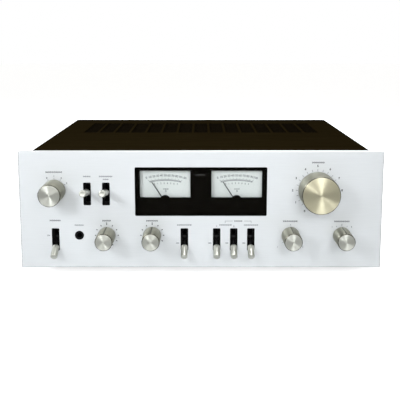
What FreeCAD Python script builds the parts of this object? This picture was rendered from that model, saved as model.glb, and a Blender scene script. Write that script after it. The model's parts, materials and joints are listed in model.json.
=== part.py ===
import FreeCAD, Part
import math
import os

from FreeCAD import Vector

# Stereo amplifier with two level meters, six knobs and seven lever switches. Sizes in millimetres.
# While a piece is drawn, x runs to the right seen from the front, y runs back from the panel's
# front face, and z runs up from the surface under the feet. The last function moves each piece
# along y, so that the origin lies under the middle of the finished amplifier.


# Panel and case
PANEL_W = 420.0
PANEL_H = 138.0
PANEL_OVERHANG = 13.0  # how far the panel stands out beyond the cover, each side
PANEL_T = 7.0
PANEL_PLATE_T = 3.5  # thickness left where the controls pass through
PANEL_RIM_END = 24.0  # full thickness at each end
PANEL_RIM_EDGE = 8.0  # full thickness along the top and the bottom
PANEL_POCKET_R = 5.0  # cutter radius in the corners of the pocket behind
PANEL_CHAMFER = 0.6
FOOT_H = 12.0
COVER_L = 287.0
COVER_STEP = 0.5  # how far the cover's top lies under the panel's top
SHEET_T = 1.2
BEND_R = 2.4  # outside radius of a bend in the sheet
LIP_H = 14.0  # lip of the cover over the rear panel
LIP_NOTCH = 4.0  # relief at each end of the lip
FLANGE = 14.0  # foot of the sub-panel and of the rear panel
SUB_TOP_FLANGE = 10.0
PAN_WALL_H = 36.0

# Air slots in the cover and the screen under them
VENT_COLUMNS = 15
VENT_W = 18.5
VENT_RIB = 3.3
VENT_L = 100.0
VENT_START = 145.0  # from the cover's front edge
SCREEN_T = 1.0
SCREEN_MARGIN = 6.0
SCREEN_BAR = 4.5
SCREEN_SLOT = 6.5
SCREEN_SLOT_INSET = 1.5  # how much narrower than its air slot, each side

# Clearances
SEAT_GAP = 0.2  # between sheets that slide past each other
RUN_GAP = 0.05  # radial, shaft in bearing
SCREW_GAP = 0.15  # radial, screw in its hole
FIT_GAP = 0.15  # around a piece that fits into a cut-out
FREE_GAP = 0.8  # radial, around what only passes through

# Rows of controls and the window's bottom edge, as shares of the panel's height from its bottom
UPPER_ROW = 0.6703 * PANEL_H
LOWER_ROW = 0.2819 * PANEL_H
UPPER_LEVER_ROW = 0.6391 * PANEL_H
LOWER_LEVER_ROW = 0.2457 * PANEL_H
WINDOW_UP = 0.45 * PANEL_H

# Places of the controls from the middle, as shares of the panel's half width
PANEL_HALF = PANEL_W / 2
SPEAKERS_X = -0.8057 * PANEL_HALF
VOLUME_X = 0.64 * PANEL_HALF
BASS_X = -0.5219 * PANEL_HALF
TREBLE_X = -0.27 * PANEL_HALF
BALANCE_X = 0.4967 * PANEL_HALF
FUNCTION_X = 0.7805 * PANEL_HALF
POWER_X = -0.8062 * PANEL_HALF
TONE_X = -0.6262 * PANEL_HALF
FILTER_X = -0.5224 * PANEL_HALF
LOUDNESS_X = -0.0919 * PANEL_HALF
TAPE_1_X = 0.0874 * PANEL_HALF
TAPE_2_X = 0.1821 * PANEL_HALF
TAPE_COPY_X = 0.2771 * PANEL_HALF
PHONES_X = -0.6743 * PANEL_HALF

# Knobs and shafts
VOLUME_KNOB_R = 21.6
SPEAKERS_KNOB_R = 12.75
TONE_KNOB_R = 10.2
SMALL_KNOB_R = 10.0
KNOB_PROUD = 28.0
KNOB_GAP = 1.0
KNOB_TAPER = 0.3  # rear radius over front radius
KNOB_BEVEL = 0.5
KNOB_LIP = 1.3  # thickness of the front disc
KNOB_GROOVE_W = 0.7
KNOB_GROOVE_D = 0.6
KNOB_SKIRT_T = 2.2
KNOB_SKIRT_DEEP = 9.0
KNOB_BOSS_R = 5.2
KNOB_BORE_DEEP = 21.0
KNOB_MARK_W = 0.9
KNOB_MARK_D = 0.7
SHAFT_R = 3.0
SHAFT_INSIDE = 9.0  # length of the shaft in the control's housing
BUSH_R = 4.7
BUSH_OUT = 3.1  # bush in front of the sub-panel
BUSH_IN = 1.0  # bush in the control's housing
NUT_FLATS = 12.0
NUT_T = 2.2

# Potentiometers and rotary switches
POT_R = 10.5
POT_DEEP = 15.0
VOLUME_POT_R = 13.5
VOLUME_POT_DEEP = 27.0
POT_TAB_W = 13.0
POT_TAB_H = 7.0
POT_TAB_T = 1.0
INDEX_R = 11.0  # housing of a rotary switch's detent
INDEX_DEEP = 11.0
WAFER_R = 13.5
WAFER_T = 1.6
WAFER_PITCH = 9.0
WAFER_COUNT = 2
TIE_ROD_R = 1.3
TIE_ROD_SPREAD = 9.0

# Angles of the knobs' marks at rest, clockwise from the top, seen from the front
SPEAKERS_REST = -30.0
VOLUME_REST = -150.0

# Level meters
WINDOW_W = 152.7
WINDOW_H = 57.5
WINDOW_R = 1.5
PANE_SET = 0.5  # pane behind the panel's face
PANE_FLANGE = 3.0
PANE_FLANGE_T = 1.5
METER_APERTURE_W = 58.7
METER_APERTURE_H = 31.9
METER_SIDE = 5.4  # between the aperture and the window's side edge
METER_BORDER = 5.0  # between the aperture and the window's top edge
METER_DROP = 6.5  # needle's axis under the aperture
METER_DOME_R = 6.2
METER_DOME_H = 2.7
METER_CASE_WALL = 1.2
METER_CASE_SIDE = 0.65  # inside of the case beyond the aperture
METER_CASE_UNDER = 12.6  # inside of the case under the needle's axis
METER_DEEP = 34.0
METER_LEDGE = 1.5
METER_STAND = 3.0  # dial behind the black surround
DIAL_T = 0.8
NEEDLE_REST = -33.0
NEEDLE_L = 29.0
NEEDLE_W = 1.4
NEEDLE_TIP_W = 0.8
NEEDLE_T = 0.4
NEEDLE_TAIL = 6.0
NEEDLE_CLEAR = 1.1  # needle in front of the dial
NEEDLE_HUB_R = 2.2
STAFF_R = 0.8
DIAL_HOLE_R = 2.6
MAGNET_W = 26.0
MAGNET_OVER = 10.5  # top of the magnet block over the axis
MAGNET_DEEP = 18.0
MAGNET_BORE_R = 8.4
MAGNET_BACK_T = 3.0
BRIDGE_H = 6.0
BRIDGE_T = 1.0
COIL_W = 13.0
COIL_L = 10.0
COIL_T = 2.4
COIL_WIRE = 1.6
LAMP_R = 2.6
LAMP_L = 20.0
LAMP_CAP_R = 3.0
LAMP_CAP_L = 4.0

# Lever switches
SLOT_W = 8.8
SLOT_H = 26.8
SLOT_R = 1.2
LEVER_PIVOT = 12.5  # behind the panel's face
LEVER_ANGLE_DEG = 33.5  # each side of level
LEVER_REACH = 30.8  # from the pivot to the end of the cap
LONG_LEVER_REACH = 43.0  # tone and filter
LONG_LEVER_RISE_DEG = 10.0  # how far these two stand above level at rest
LEVER_CAP_START = 15.0  # from the pivot
LEVER_R = 3.9
LEVER_BEVEL = 0.5
LEVER_DISH_R = 2.8
LEVER_DISH = 0.35
LEVER_TANG = 10.0  # arm inside the cap
ARM_T = 2.0
ARM_H = 4.4
HUB_R = 3.6
HUB_W = 5.2
FINGER_L = 10.0
FINGER_H = 2.4
PIVOT_R = 1.5
CHEEK_T = 1.2
CHEEK_H = 18.0
SWITCH_W = 13.0
SWITCH_H = 30.0
SWITCH_DEEP = 18.0
SWITCH_START = 7.0  # housing behind the pivot
SWITCH_POCKET = 6.5
SWITCH_POCKET_H = 15.0
SWITCH_TAG_L = 4.0
POWER_SWITCH_DEEP = 26.0
SWITCH_FLANGE_W = 15.0
SWITCH_FLANGE_H = 34.0
SUB_SLOT_W = 5.0
SUB_SLOT_H = 22.0

# Headphone socket
JACK_HOLE_R = 5.35
JACK_BORE_R = 3.25
JACK_SET = 0.3
JACK_BODY_W = 16.0
JACK_BODY_DEEP = 26.0
JACK_BORE_DEEP = 30.0

# Screws
SCREW_R = 1.5
SCREW_L = 6.0
SCREW_HEAD_R = 2.9
SCREW_HEAD_H = 1.9
SCREW_HEAD_DRAFT = 0.8
PANEL_SCREW_IN = 5.6  # from the sub-panel's end
PANEL_SCREW_UP = 30.0  # from the panel's lower and upper edge
SIDE_SCREW_UP = 22.0
SIDE_SCREW_FRONT = 50.0
SIDE_SCREW_REAR = 50.0
LIP_SCREW_IN = 37.0  # from the cover's side
FLOOR_SCREW_IN = 57.0

# Feet
FOOT_R = 17.0
FOOT_BASE_R = 15.0
FOOT_WELL_R = 6.0
FOOT_WELL = 5.0
FOOT_IN = 47.0  # from the cover's side
FOOT_FRONT = 65.0  # behind the panel's face
FOOT_REAR = 42.0  # in front of the rear panel
FOOT_SCREW_R = 1.95
FOOT_SCREW_L = 11.0
FOOT_SCREW_HEAD_R = 3.9
FOOT_SCREW_HEAD_H = 2.6

# Power supply and amplifier, across from the middle as shares of the case's half width
CASE_HALF = PANEL_HALF - PANEL_OVERHANG
CORE_X = -0.66 * CASE_HALF
CAP_X = -0.2944 * CASE_HALF
SINK_X = 0.3553 * CASE_HALF
PREAMP_X = 0.599 * CASE_HALF
CORE_Y = 195.0
CORE_W = 90.0
CORE_T = 42.0
CORE_H = 76.0
CORE_LIMB = 15.0
COIL_BOBBIN_OUT = 13.0  # winding in front of and behind the core
WINDING_GAP = 0.3
CAP_Y = 118.0
CAP_PITCH = 46.0
CAP_R = 20.0
CAP_H = 88.0
CAP_BEAD = 1.2
SINK_W = 186.0
SINK_H = 88.0
SINK_BASE_T = 6.0
SINK_FIN_T = 1.8
SINK_FIN_L = 44.0
SINK_FINS = 19
TRANSISTOR_PITCH = 44.0
TRANSISTOR_UP = 52.0
TRANSISTOR_R = 11.0
TRANSISTOR_H = 7.5
TRANSISTOR_BASE_W = 38.0
TRANSISTOR_BASE_H = 26.0
TRANSISTOR_BASE_T = 1.6
BOARD_T = 1.6
BOARD_LIFT = 6.0
BOARD_LUG_R = 3.5
BOARD_LUG_IN = 7.0
AMP_BOARD_W = 178.0
AMP_BOARD_L = 64.0
PREAMP_W = 132.0
PREAMP_L = 46.0
AMP_BOARD_SHARE = 0.5866  # shares of the free depth, in front of the board, the sink and the other board
SINK_SHARE = 0.1394
PREAMP_SHARE = 0.0816
PART_R = 5.0  # radius of a small capacitor on a board
PART_H = 16.0
PAN_SLOT_W = 5.0
PAN_SLOT_L = 36.0
PAN_SLOT_PITCH = 12.0
PAN_SLOT_COUNT = 12

# Rear panel, across from the middle as shares of the case's half width
PHONO_X = 0.5685 * CASE_HALF  # middle of the block of sockets
GROUND_X = 0.1726 * CASE_HALF
TERMINAL_X = -0.1726 * CASE_HALF
OUTLET_X = -0.6853 * CASE_HALF
GLAND_X = -0.863 * CASE_HALF
PHONO_COLUMNS = 7
PHONO_PITCH_X = 18.0
PHONO_PITCH_Z = 18.0
PHONO_UP = 66.0
PHONO_R = 4.15
PHONO_L = 9.0
PHONO_FLANGE_R = 6.4
PHONO_FLANGE_T = 1.5
PHONO_NECK_R = 4.6
PHONO_BEHIND = 6.0
PHONO_HOLE_R = 1.6
GROUND_POST_R = 2.0
GROUND_POST_L = 13.0
GROUND_NUT_R = 5.5
GROUND_NUT_T = 6.0
TERMINAL_UP = 66.0
TERMINAL_COLUMNS = 4
TERMINAL_PITCH_X = 23.0
TERMINAL_PITCH_Z = 24.0
TERMINAL_MARGIN = 13.0
TERMINAL_BOARD_T = 3.0
TERMINAL_POST_R = 2.0
TERMINAL_CAP_R = 6.0
TERMINAL_CAP_L = 10.0
TERMINAL_CAP_GAP = 0.3
TERMINAL_CAP_END = 1.0  # thickness of the cap's end
OUTLET_PITCH = 38.0
OUTLET_UP = 84.0
OUTLET_W = 30.0
OUTLET_H = 23.0
OUTLET_FACE_T = 2.5
OUTLET_BODY_W = 24.0
OUTLET_BODY_H = 18.0
OUTLET_BODY_DEEP = 16.0
OUTLET_BLADE_W = 2.2
OUTLET_BLADE_H = 7.5
OUTLET_BLADE_SPREAD = 6.35
OUTLET_BLADE_DEEP = 12.0
GLAND_UP = 40.0
GLAND_BORE_R = 3.75
GLAND_NECK_R = 6.5
GLAND_FLANGE_R = 9.0
GLAND_FLANGE_T = 2.5
GLAND_NOSE_R = 6.0
GLAND_NOSE_L = 9.0
GLAND_DRAFT = 1.0
GLAND_BEHIND = 5.0

# Places that follow from the sizes above
LIP_SCREW_X = CASE_HALF - LIP_SCREW_IN
FLOOR_SCREW_X = CASE_HALF - FLOOR_SCREW_IN
FOOT_X = CASE_HALF - FOOT_IN
PANEL_TOP = FOOT_H + PANEL_H
COVER_TOP = PANEL_TOP - COVER_STEP
ROOF = COVER_TOP - SHEET_T
COVER_FRONT = PANEL_T + SEAT_GAP
COVER_REAR = PANEL_T + COVER_L
FLOOR = FOOT_H + SHEET_T
PAN_HALF = CASE_HALF - SHEET_T - SEAT_GAP
SUB_BACK = PANEL_T + SHEET_T
REAR_OUT = COVER_REAR - SHEET_T
REAR_IN = REAR_OUT - SHEET_T
SWITCH_END = LEVER_PIVOT + SWITCH_START + POWER_SWITCH_DEEP
SINK_DEEP = SINK_BASE_T + SINK_FIN_L
FREE_DEPTH = REAR_IN - SWITCH_END - AMP_BOARD_L - SINK_DEEP - PREAMP_L
AMP_BOARD_Y = SWITCH_END + AMP_BOARD_SHARE * FREE_DEPTH + AMP_BOARD_L / 2
SINK_Y = AMP_BOARD_Y + AMP_BOARD_L / 2 + SINK_SHARE * FREE_DEPTH
PREAMP_Y = SINK_Y + SINK_DEEP + PREAMP_SHARE * FREE_DEPTH + PREAMP_L / 2
NUT_RADIUS = NUT_FLATS / 2 / math.cos(math.pi / 6)
BUSH_HOLE_R = BUSH_R + FIT_GAP
SHAFT_HOLE_R = SHAFT_R + FREE_GAP
METER_SPREAD = WINDOW_W / 2 - METER_SIDE - METER_APERTURE_W / 2
METER_UP = WINDOW_UP + WINDOW_H - METER_BORDER - METER_APERTURE_H
PIVOT_Z = FOOT_H + METER_UP - METER_DROP
METER_FLOOR = PIVOT_Z - METER_CASE_UNDER
METER_CEILING = FOOT_H + METER_UP + METER_APERTURE_H + METER_CASE_SIDE
METER_HALF = METER_APERTURE_W / 2 + METER_CASE_SIDE
DIAL_Y = PANEL_T + METER_STAND
MAGNET_Y = DIAL_Y + DIAL_T + METER_LEDGE + BRIDGE_T
REAR_REACH = max(
    TERMINAL_BOARD_T + TERMINAL_CAP_GAP + TERMINAL_CAP_L,
    PHONO_FLANGE_T + PHONO_L,
    GROUND_POST_L,
    GLAND_FLANGE_T + GLAND_NOSE_L,
)
SHIFT_Y = (KNOB_PROUD - REAR_OUT - REAR_REACH) / 2

# Each knob: place across, height over the panel's bottom, radius, angle of its mark at rest
KNOBS = {
    "speakers": (SPEAKERS_X, UPPER_ROW, SPEAKERS_KNOB_R, SPEAKERS_REST),
    "volume": (VOLUME_X, UPPER_ROW, VOLUME_KNOB_R, VOLUME_REST),
    "bass": (BASS_X, LOWER_ROW, SMALL_KNOB_R, 0.0),
    "treble": (TREBLE_X, LOWER_ROW, TONE_KNOB_R, 0.0),
    "balance": (BALANCE_X, LOWER_ROW, TONE_KNOB_R, 0.0),
    "function": (FUNCTION_X, LOWER_ROW, SMALL_KNOB_R, 0.0),
}
ROTARY_SWITCHES = ("speakers", "function")

# Each lever: place across, height of its pivot over the panel's bottom, swing down at rest, reach
LEVERS = {
    "power": (POWER_X, LOWER_LEVER_ROW, LEVER_ANGLE_DEG, LEVER_REACH),
    "tone": (TONE_X, UPPER_LEVER_ROW, -LONG_LEVER_RISE_DEG, LONG_LEVER_REACH),
    "filter": (FILTER_X, UPPER_LEVER_ROW, -LONG_LEVER_RISE_DEG, LONG_LEVER_REACH),
    "loudness": (LOUDNESS_X, LOWER_LEVER_ROW, LEVER_ANGLE_DEG, LEVER_REACH),
    "tape_1": (TAPE_1_X, LOWER_LEVER_ROW, LEVER_ANGLE_DEG, LEVER_REACH),
    "tape_2": (TAPE_2_X, LOWER_LEVER_ROW, LEVER_ANGLE_DEG, LEVER_REACH),
    "tape_copy": (TAPE_COPY_X, LOWER_LEVER_ROW, LEVER_ANGLE_DEG, LEVER_REACH),
}


def box(x0, x1, y0, y1, z0, z1):
    return Part.makeBox(x1 - x0, y1 - y0, z1 - z0, Vector(x0, y0, z0))


def rod_x(y, z, r, x0, x1):
    return Part.makeCylinder(r, x1 - x0, Vector(x0, y, z), Vector(1, 0, 0))


def rod_y(x, z, r, y0, y1):
    return Part.makeCylinder(r, y1 - y0, Vector(x, y0, z), Vector(0, 1, 0))


def rod_z(x, y, r, z0, z1):
    return Part.makeCylinder(r, z1 - z0, Vector(x, y, z0), Vector(0, 0, 1))


def turned_y(x, z, outline):
    """A turned piece whose axis runs along y. The outline is (radius, y) from axis to axis."""
    points = [Vector(x + radius, y, z) for radius, y in outline]
    face = Part.Face(Part.makePolygon(points + points[:1]))
    return face.revolve(Vector(x, 0, z), Vector(0, 1, 0), 360)


def turned_z(x, y, outline):
    """A turned piece whose axis runs along z. The outline is (radius, z) from axis to axis."""
    points = [Vector(x + radius, y, z) for radius, z in outline]
    face = Part.Face(Part.makePolygon(points + points[:1]))
    return face.revolve(Vector(x, y, 0), Vector(0, 0, 1), 360)


def edges_along(shape, direction, wanted=lambda middle: True):
    """The straight edges of a shape that run along a direction, and whose middle is wanted."""
    found = []
    for edge in shape.Edges:
        run = edge.Vertexes[-1].Point - edge.Vertexes[0].Point
        if run.Length > 0 and abs(abs(run.dot(direction)) - run.Length) < 1e-6:
            if wanted(edge.CenterOfMass):
                found.append(edge)
    return found


def rounded_window(x0, x1, z0, z1, r, y0, y1):
    """A slab across y with its four corners rounded, seen from the front."""
    slab = box(x0, x1, y0, y1, z0, z1)
    return slab.makeFillet(r, edges_along(slab, Vector(0, 1, 0)))


def hexagon_y(x, z, across_corners, y0, y1):
    corners = []
    for step in range(7):
        angle = math.radians(60 * step)
        corners.append(
            Vector(
                x + across_corners * math.cos(angle),
                y0,
                z + across_corners * math.sin(angle),
            )
        )
    return Part.Face(Part.makePolygon(corners)).extrude(Vector(0, y1 - y0, 0))


def joined(*solids):
    return solids[0].fuse(list(solids[1:])).removeSplitter()


# Screws of one size hold the whole case. Each is the middle of its seat and the way its head faces.
def screw_places():
    places = []
    for side in (-1, 1):
        for z in (FOOT_H + PANEL_SCREW_UP, PANEL_TOP - PANEL_SCREW_UP):
            places.append((Vector(side * (PAN_HALF - PANEL_SCREW_IN), SUB_BACK, z), Vector(0, 1, 0)))
        for y in (COVER_FRONT + SIDE_SCREW_FRONT, COVER_REAR - SIDE_SCREW_REAR):
            places.append((Vector(side * CASE_HALF, y, FOOT_H + SIDE_SCREW_UP), Vector(side, 0, 0)))
    for x in (-LIP_SCREW_X, 0, LIP_SCREW_X):
        places.append((Vector(x, COVER_REAR, COVER_TOP - LIP_H / 2), Vector(0, 1, 0)))
    for x in (-FLOOR_SCREW_X, 0, FLOOR_SCREW_X):
        for y in (SUB_BACK + FLANGE / 2, REAR_IN - FLANGE / 2):
            places.append((Vector(x, y, FOOT_H), Vector(0, 0, -1)))
    return places


def case_screws():
    screws = []
    for seat, out in screw_places():
        head = Part.makeCone(
            SCREW_HEAD_R, SCREW_HEAD_R - SCREW_HEAD_DRAFT, SCREW_HEAD_H, seat, out
        )
        shank = Part.makeCylinder(SCREW_R, SCREW_L, seat, out * -1)
        screws.append(joined(head, shank))
    return screws


def drilled(sheet):
    """A sheet with a hole for every case screw that reaches it."""
    holes = []
    for seat, out in screw_places():
        deep = SCREW_L + SCREW_GAP
        holes.append(Part.makeCylinder(SCREW_R + SCREW_GAP, deep, seat, out * -1))
    return sheet.cut(holes)


# Front panel: a thick plate, milled out behind so that nuts and window have room.
def lever_slot(x, up):
    z = FOOT_H + up
    half_w = SLOT_W / 2
    half_h = SLOT_H / 2
    return rounded_window(x - half_w, x + half_w, z - half_h, z + half_h, SLOT_R, 0, PANEL_T)


def window_slab(extra, radius, y0, y1):
    """The window's outline, larger all round by extra."""
    return rounded_window(
        -WINDOW_W / 2 - extra,
        WINDOW_W / 2 + extra,
        FOOT_H + WINDOW_UP - extra,
        FOOT_H + WINDOW_UP + WINDOW_H + extra,
        radius,
        y0,
        y1,
    )


def front_panel():
    half = PANEL_W / 2
    plate = box(-half, half, 0, PANEL_T, FOOT_H, PANEL_TOP)
    front_edges = [edge for edge in plate.Edges if abs(edge.BoundBox.YMax) < 1e-6]
    plate = plate.makeChamfer(PANEL_CHAMFER, front_edges)
    openings = [
        rounded_window(
            PANEL_RIM_END - half,
            half - PANEL_RIM_END,
            FOOT_H + PANEL_RIM_EDGE,
            PANEL_TOP - PANEL_RIM_EDGE,
            PANEL_POCKET_R,
            PANEL_PLATE_T,
            PANEL_T,
        ),
        window_slab(0, WINDOW_R, 0, PANEL_T),
        rod_y(PHONES_X, FOOT_H + LOWER_ROW, JACK_HOLE_R, 0, PANEL_T),
    ]
    for x, up, _, _ in KNOBS.values():
        openings.append(rod_y(x, FOOT_H + up, SHAFT_HOLE_R, 0, PANEL_T))
    for x, up, _, _ in LEVERS.values():
        openings.append(lever_slot(x, up))
    return drilled(plate.cut(openings))


# Sub-panel: the folded steel plate that carries every control.
def upright_sheet(y0, y1):
    """A plate that stands on the pan, its upper corners rounded to clear the bends of the cover."""
    top = ROOF - SEAT_GAP
    plate = box(-PAN_HALF, PAN_HALF, y0, y1, FLOOR, top)
    corners = edges_along(plate, Vector(0, 1, 0), lambda middle: middle.z > top - SHEET_T)
    return plate.makeFillet(BEND_R, corners)


def front_subpanel():
    inside = PAN_HALF - BEND_R
    top = ROOF - SEAT_GAP
    plate = upright_sheet(PANEL_T, SUB_BACK)
    foot = box(-inside, inside, PANEL_T, SUB_BACK + FLANGE, FLOOR, FLOOR + SHEET_T)
    hem = box(-inside, inside, PANEL_T, SUB_BACK + SUB_TOP_FLANGE, top - SHEET_T, top)
    sheet = joined(plate, foot, hem)
    openings = [
        box(
            -METER_SPREAD - METER_HALF - METER_CASE_WALL - FIT_GAP,
            METER_SPREAD + METER_HALF + METER_CASE_WALL + FIT_GAP,
            PANEL_T,
            SUB_BACK,
            METER_FLOOR - METER_CASE_WALL - FIT_GAP,
            METER_CEILING + METER_CASE_WALL + FIT_GAP,
        ),
        rod_y(PHONES_X, FOOT_H + LOWER_ROW, JACK_HOLE_R, PANEL_T, SUB_BACK),
    ]
    for x, up, _, _ in KNOBS.values():
        openings.append(rod_y(x, FOOT_H + up, BUSH_HOLE_R, PANEL_T, SUB_BACK))
    for x, up, _, _ in LEVERS.values():
        z = FOOT_H + up
        openings.append(
            box(
                x - SUB_SLOT_W / 2,
                x + SUB_SLOT_W / 2,
                PANEL_T,
                SUB_BACK,
                z - SUB_SLOT_H / 2,
                z + SUB_SLOT_H / 2,
            )
        )
    return drilled(sheet.cut(openings))


# Chassis pan: floor with a turned-up wall each side, air slots, and lugs for the boards.
def board_corners(x, y, w, l):
    for side in (-1, 1):
        for end in (-1, 1):
            yield x + side * (w / 2 - BOARD_LUG_IN), y + end * (l / 2 - BOARD_LUG_IN)


def foot_places():
    return [(x, y) for x in (-FOOT_X, FOOT_X) for y in (FOOT_FRONT, REAR_OUT - FOOT_REAR)]


def chassis_pan():
    floor = box(-PAN_HALF, PAN_HALF, PANEL_T, REAR_OUT, FOOT_H, FLOOR)
    pieces = [floor]
    for side in (-1, 1):
        near, far = sorted((side * PAN_HALF, side * (PAN_HALF - SHEET_T)))
        wall_front = SUB_BACK + SEAT_GAP
        wall_rear = REAR_IN - SEAT_GAP
        pieces.append(box(near, far, wall_front, wall_rear, FOOT_H, FOOT_H + PAN_WALL_H))
    for place in ((SINK_X, AMP_BOARD_Y, AMP_BOARD_W, AMP_BOARD_L), (PREAMP_X, PREAMP_Y, PREAMP_W, PREAMP_L)):
        for x, y in board_corners(*place):
            pieces.append(rod_z(x, y, BOARD_LUG_R, FLOOR, FLOOR + BOARD_LIFT))
    pan = joined(*pieces)
    openings = []
    for x, y in foot_places():
        openings.append(rod_z(x, y, FOOT_SCREW_R + SCREW_GAP, FOOT_H, FLOOR))
    first = SINK_X - PAN_SLOT_PITCH * (PAN_SLOT_COUNT - 1) / 2
    middle = SINK_Y + SINK_BASE_T + SINK_FIN_L / 2
    for step in range(PAN_SLOT_COUNT):
        x = first + step * PAN_SLOT_PITCH
        openings.append(
            box(
                x - PAN_SLOT_W / 2,
                x + PAN_SLOT_W / 2,
                middle - PAN_SLOT_L / 2,
                middle + PAN_SLOT_L / 2,
                FOOT_H,
                FLOOR,
            )
        )
    return drilled(pan.cut(openings))


# Rear panel: flat steel with a foot on the pan, cut out for sockets, terminals and outlets.
def phono_places():
    first = PHONO_X - PHONO_PITCH_X * (PHONO_COLUMNS - 1) / 2
    middle = FOOT_H + PHONO_UP
    for column in range(PHONO_COLUMNS):
        for z in (middle + PHONO_PITCH_Z / 2, middle - PHONO_PITCH_Z / 2):
            yield first + column * PHONO_PITCH_X, z


def terminal_places():
    first = TERMINAL_X - TERMINAL_PITCH_X * (TERMINAL_COLUMNS - 1) / 2
    middle = FOOT_H + TERMINAL_UP
    for column in range(TERMINAL_COLUMNS):
        for z in (middle + TERMINAL_PITCH_Z / 2, middle - TERMINAL_PITCH_Z / 2):
            yield first + column * TERMINAL_PITCH_X, z


def outlet_places():
    return [(OUTLET_X + side * OUTLET_PITCH / 2, FOOT_H + OUTLET_UP) for side in (-1, 1)]


def rear_panel():
    inside = PAN_HALF - BEND_R
    plate = upright_sheet(REAR_IN, REAR_OUT)
    foot = box(-inside, inside, REAR_IN - FLANGE, REAR_OUT, FLOOR, FLOOR + SHEET_T)
    sheet = joined(plate, foot)
    openings = [
        rod_y(GROUND_X, FOOT_H + PHONO_UP, GROUND_POST_R + FIT_GAP, REAR_IN, REAR_OUT),
        rod_y(GLAND_X, FOOT_H + GLAND_UP, GLAND_NECK_R + FIT_GAP, REAR_IN, REAR_OUT),
    ]
    for x, z in phono_places():
        openings.append(rod_y(x, z, PHONO_NECK_R + FIT_GAP, REAR_IN, REAR_OUT))
    for x, z in terminal_places():
        openings.append(rod_y(x, z, TERMINAL_POST_R + FREE_GAP, REAR_IN, REAR_OUT))
    for x, z in outlet_places():
        half_w = OUTLET_BODY_W / 2 + FIT_GAP
        half_h = OUTLET_BODY_H / 2 + FIT_GAP
        openings.append(box(x - half_w, x + half_w, REAR_IN, REAR_OUT, z - half_h, z + half_h))
    return drilled(sheet.cut(openings))


# Top cover: a bonnet folded from one sheet, with a lip over the rear panel.
def vent_columns():
    pitch = VENT_W + VENT_RIB
    first = -pitch * (VENT_COLUMNS - 1) / 2
    return [first + column * pitch for column in range(VENT_COLUMNS)]


def top_cover():
    half = CASE_HALF
    outer = box(-half, half, COVER_FRONT, COVER_REAR, FOOT_H, COVER_TOP)
    top_edges = edges_along(outer, Vector(0, 1, 0), lambda middle: middle.z > ROOF)
    outer = outer.makeFillet(BEND_R, top_edges)
    inner = box(SHEET_T - half, half - SHEET_T, COVER_FRONT, COVER_REAR, FOOT_H, ROOF)
    inner_edges = edges_along(inner, Vector(0, 1, 0), lambda middle: middle.z > ROOF - SHEET_T)
    inner = inner.makeFillet(BEND_R - SHEET_T, inner_edges)
    bonnet = outer.cut(inner)
    notches = []
    for side in (-1, 1):
        near, far = sorted((side * (half - LIP_NOTCH), side * half))
        notches.append(box(near, far, COVER_REAR - LIP_NOTCH, COVER_REAR, ROOF - SHEET_T, COVER_TOP))
    bonnet = bonnet.cut(notches)
    lip_half = half - LIP_NOTCH
    lip = box(-lip_half, lip_half, REAR_OUT, COVER_REAR, COVER_TOP - LIP_H, COVER_TOP)
    bonnet = joined(bonnet, lip)
    lip_edge = edges_along(
        bonnet,
        Vector(1, 0, 0),
        lambda middle: middle.z > COVER_TOP - 1e-3 and middle.y > COVER_REAR - 1e-3,
    )
    bonnet = bonnet.makeFillet(SHEET_T, lip_edge)
    start = COVER_FRONT + VENT_START
    vents = []
    for x in vent_columns():
        vents.append(box(x - VENT_W / 2, x + VENT_W / 2, start, start + VENT_L, ROOF, COVER_TOP))
    return drilled(bonnet.cut(vents))


def vent_screen():
    """The black slotted plate spot-welded under the air slots."""
    half = vent_columns()[-1] + VENT_W / 2 + SCREEN_MARGIN
    start = COVER_FRONT + VENT_START
    plate = box(-half, half, start - SCREEN_MARGIN, start + VENT_L + SCREEN_MARGIN, ROOF - SCREEN_T, ROOF)
    pitch = SCREEN_BAR + SCREEN_SLOT
    rows = int((VENT_L + SCREEN_BAR) // pitch)
    first = start + (VENT_L - rows * pitch + SCREEN_BAR) / 2
    half_w = VENT_W / 2 - SCREEN_SLOT_INSET
    slots = []
    for x in vent_columns():
        for row in range(rows):
            y = first + row * pitch
            slots.append(box(x - half_w, x + half_w, y, y + SCREEN_SLOT, ROOF - SCREEN_T, ROOF))
    return plate.cut(slots)


# Feet, each with its screw from below.
def feet():
    made = []
    for x, y in foot_places():
        made.append(
            turned_z(
                x,
                y,
                [
                    (FOOT_SCREW_R + SCREW_GAP, FOOT_WELL),
                    (FOOT_WELL_R, FOOT_WELL),
                    (FOOT_WELL_R, 0),
                    (FOOT_BASE_R, 0),
                    (FOOT_R, FOOT_H - SHEET_T),
                    (FOOT_R, FOOT_H),
                    (FOOT_SCREW_R + SCREW_GAP, FOOT_H),
                ],
            )
        )
    return made


def foot_screws():
    made = []
    for x, y in foot_places():
        made.append(
            turned_z(
                x,
                y,
                [
                    (0, FOOT_WELL - FOOT_SCREW_HEAD_H),
                    (FOOT_SCREW_HEAD_R - SCREW_HEAD_DRAFT, FOOT_WELL - FOOT_SCREW_HEAD_H),
                    (FOOT_SCREW_HEAD_R, FOOT_WELL),
                    (FOOT_SCREW_R, FOOT_WELL),
                    (FOOT_SCREW_R, FOOT_WELL + FOOT_SCREW_L),
                    (0, FOOT_WELL + FOOT_SCREW_L),
                ],
            )
        )
    return made


# Window pane and the black surround behind it.
def window_pane():
    front = window_slab(-FIT_GAP, WINDOW_R - FIT_GAP, PANE_SET, PANEL_PLATE_T)
    flange = window_slab(PANE_FLANGE, WINDOW_R, PANEL_PLATE_T, PANEL_PLATE_T + PANE_FLANGE_T)
    return joined(front, flange)


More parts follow.
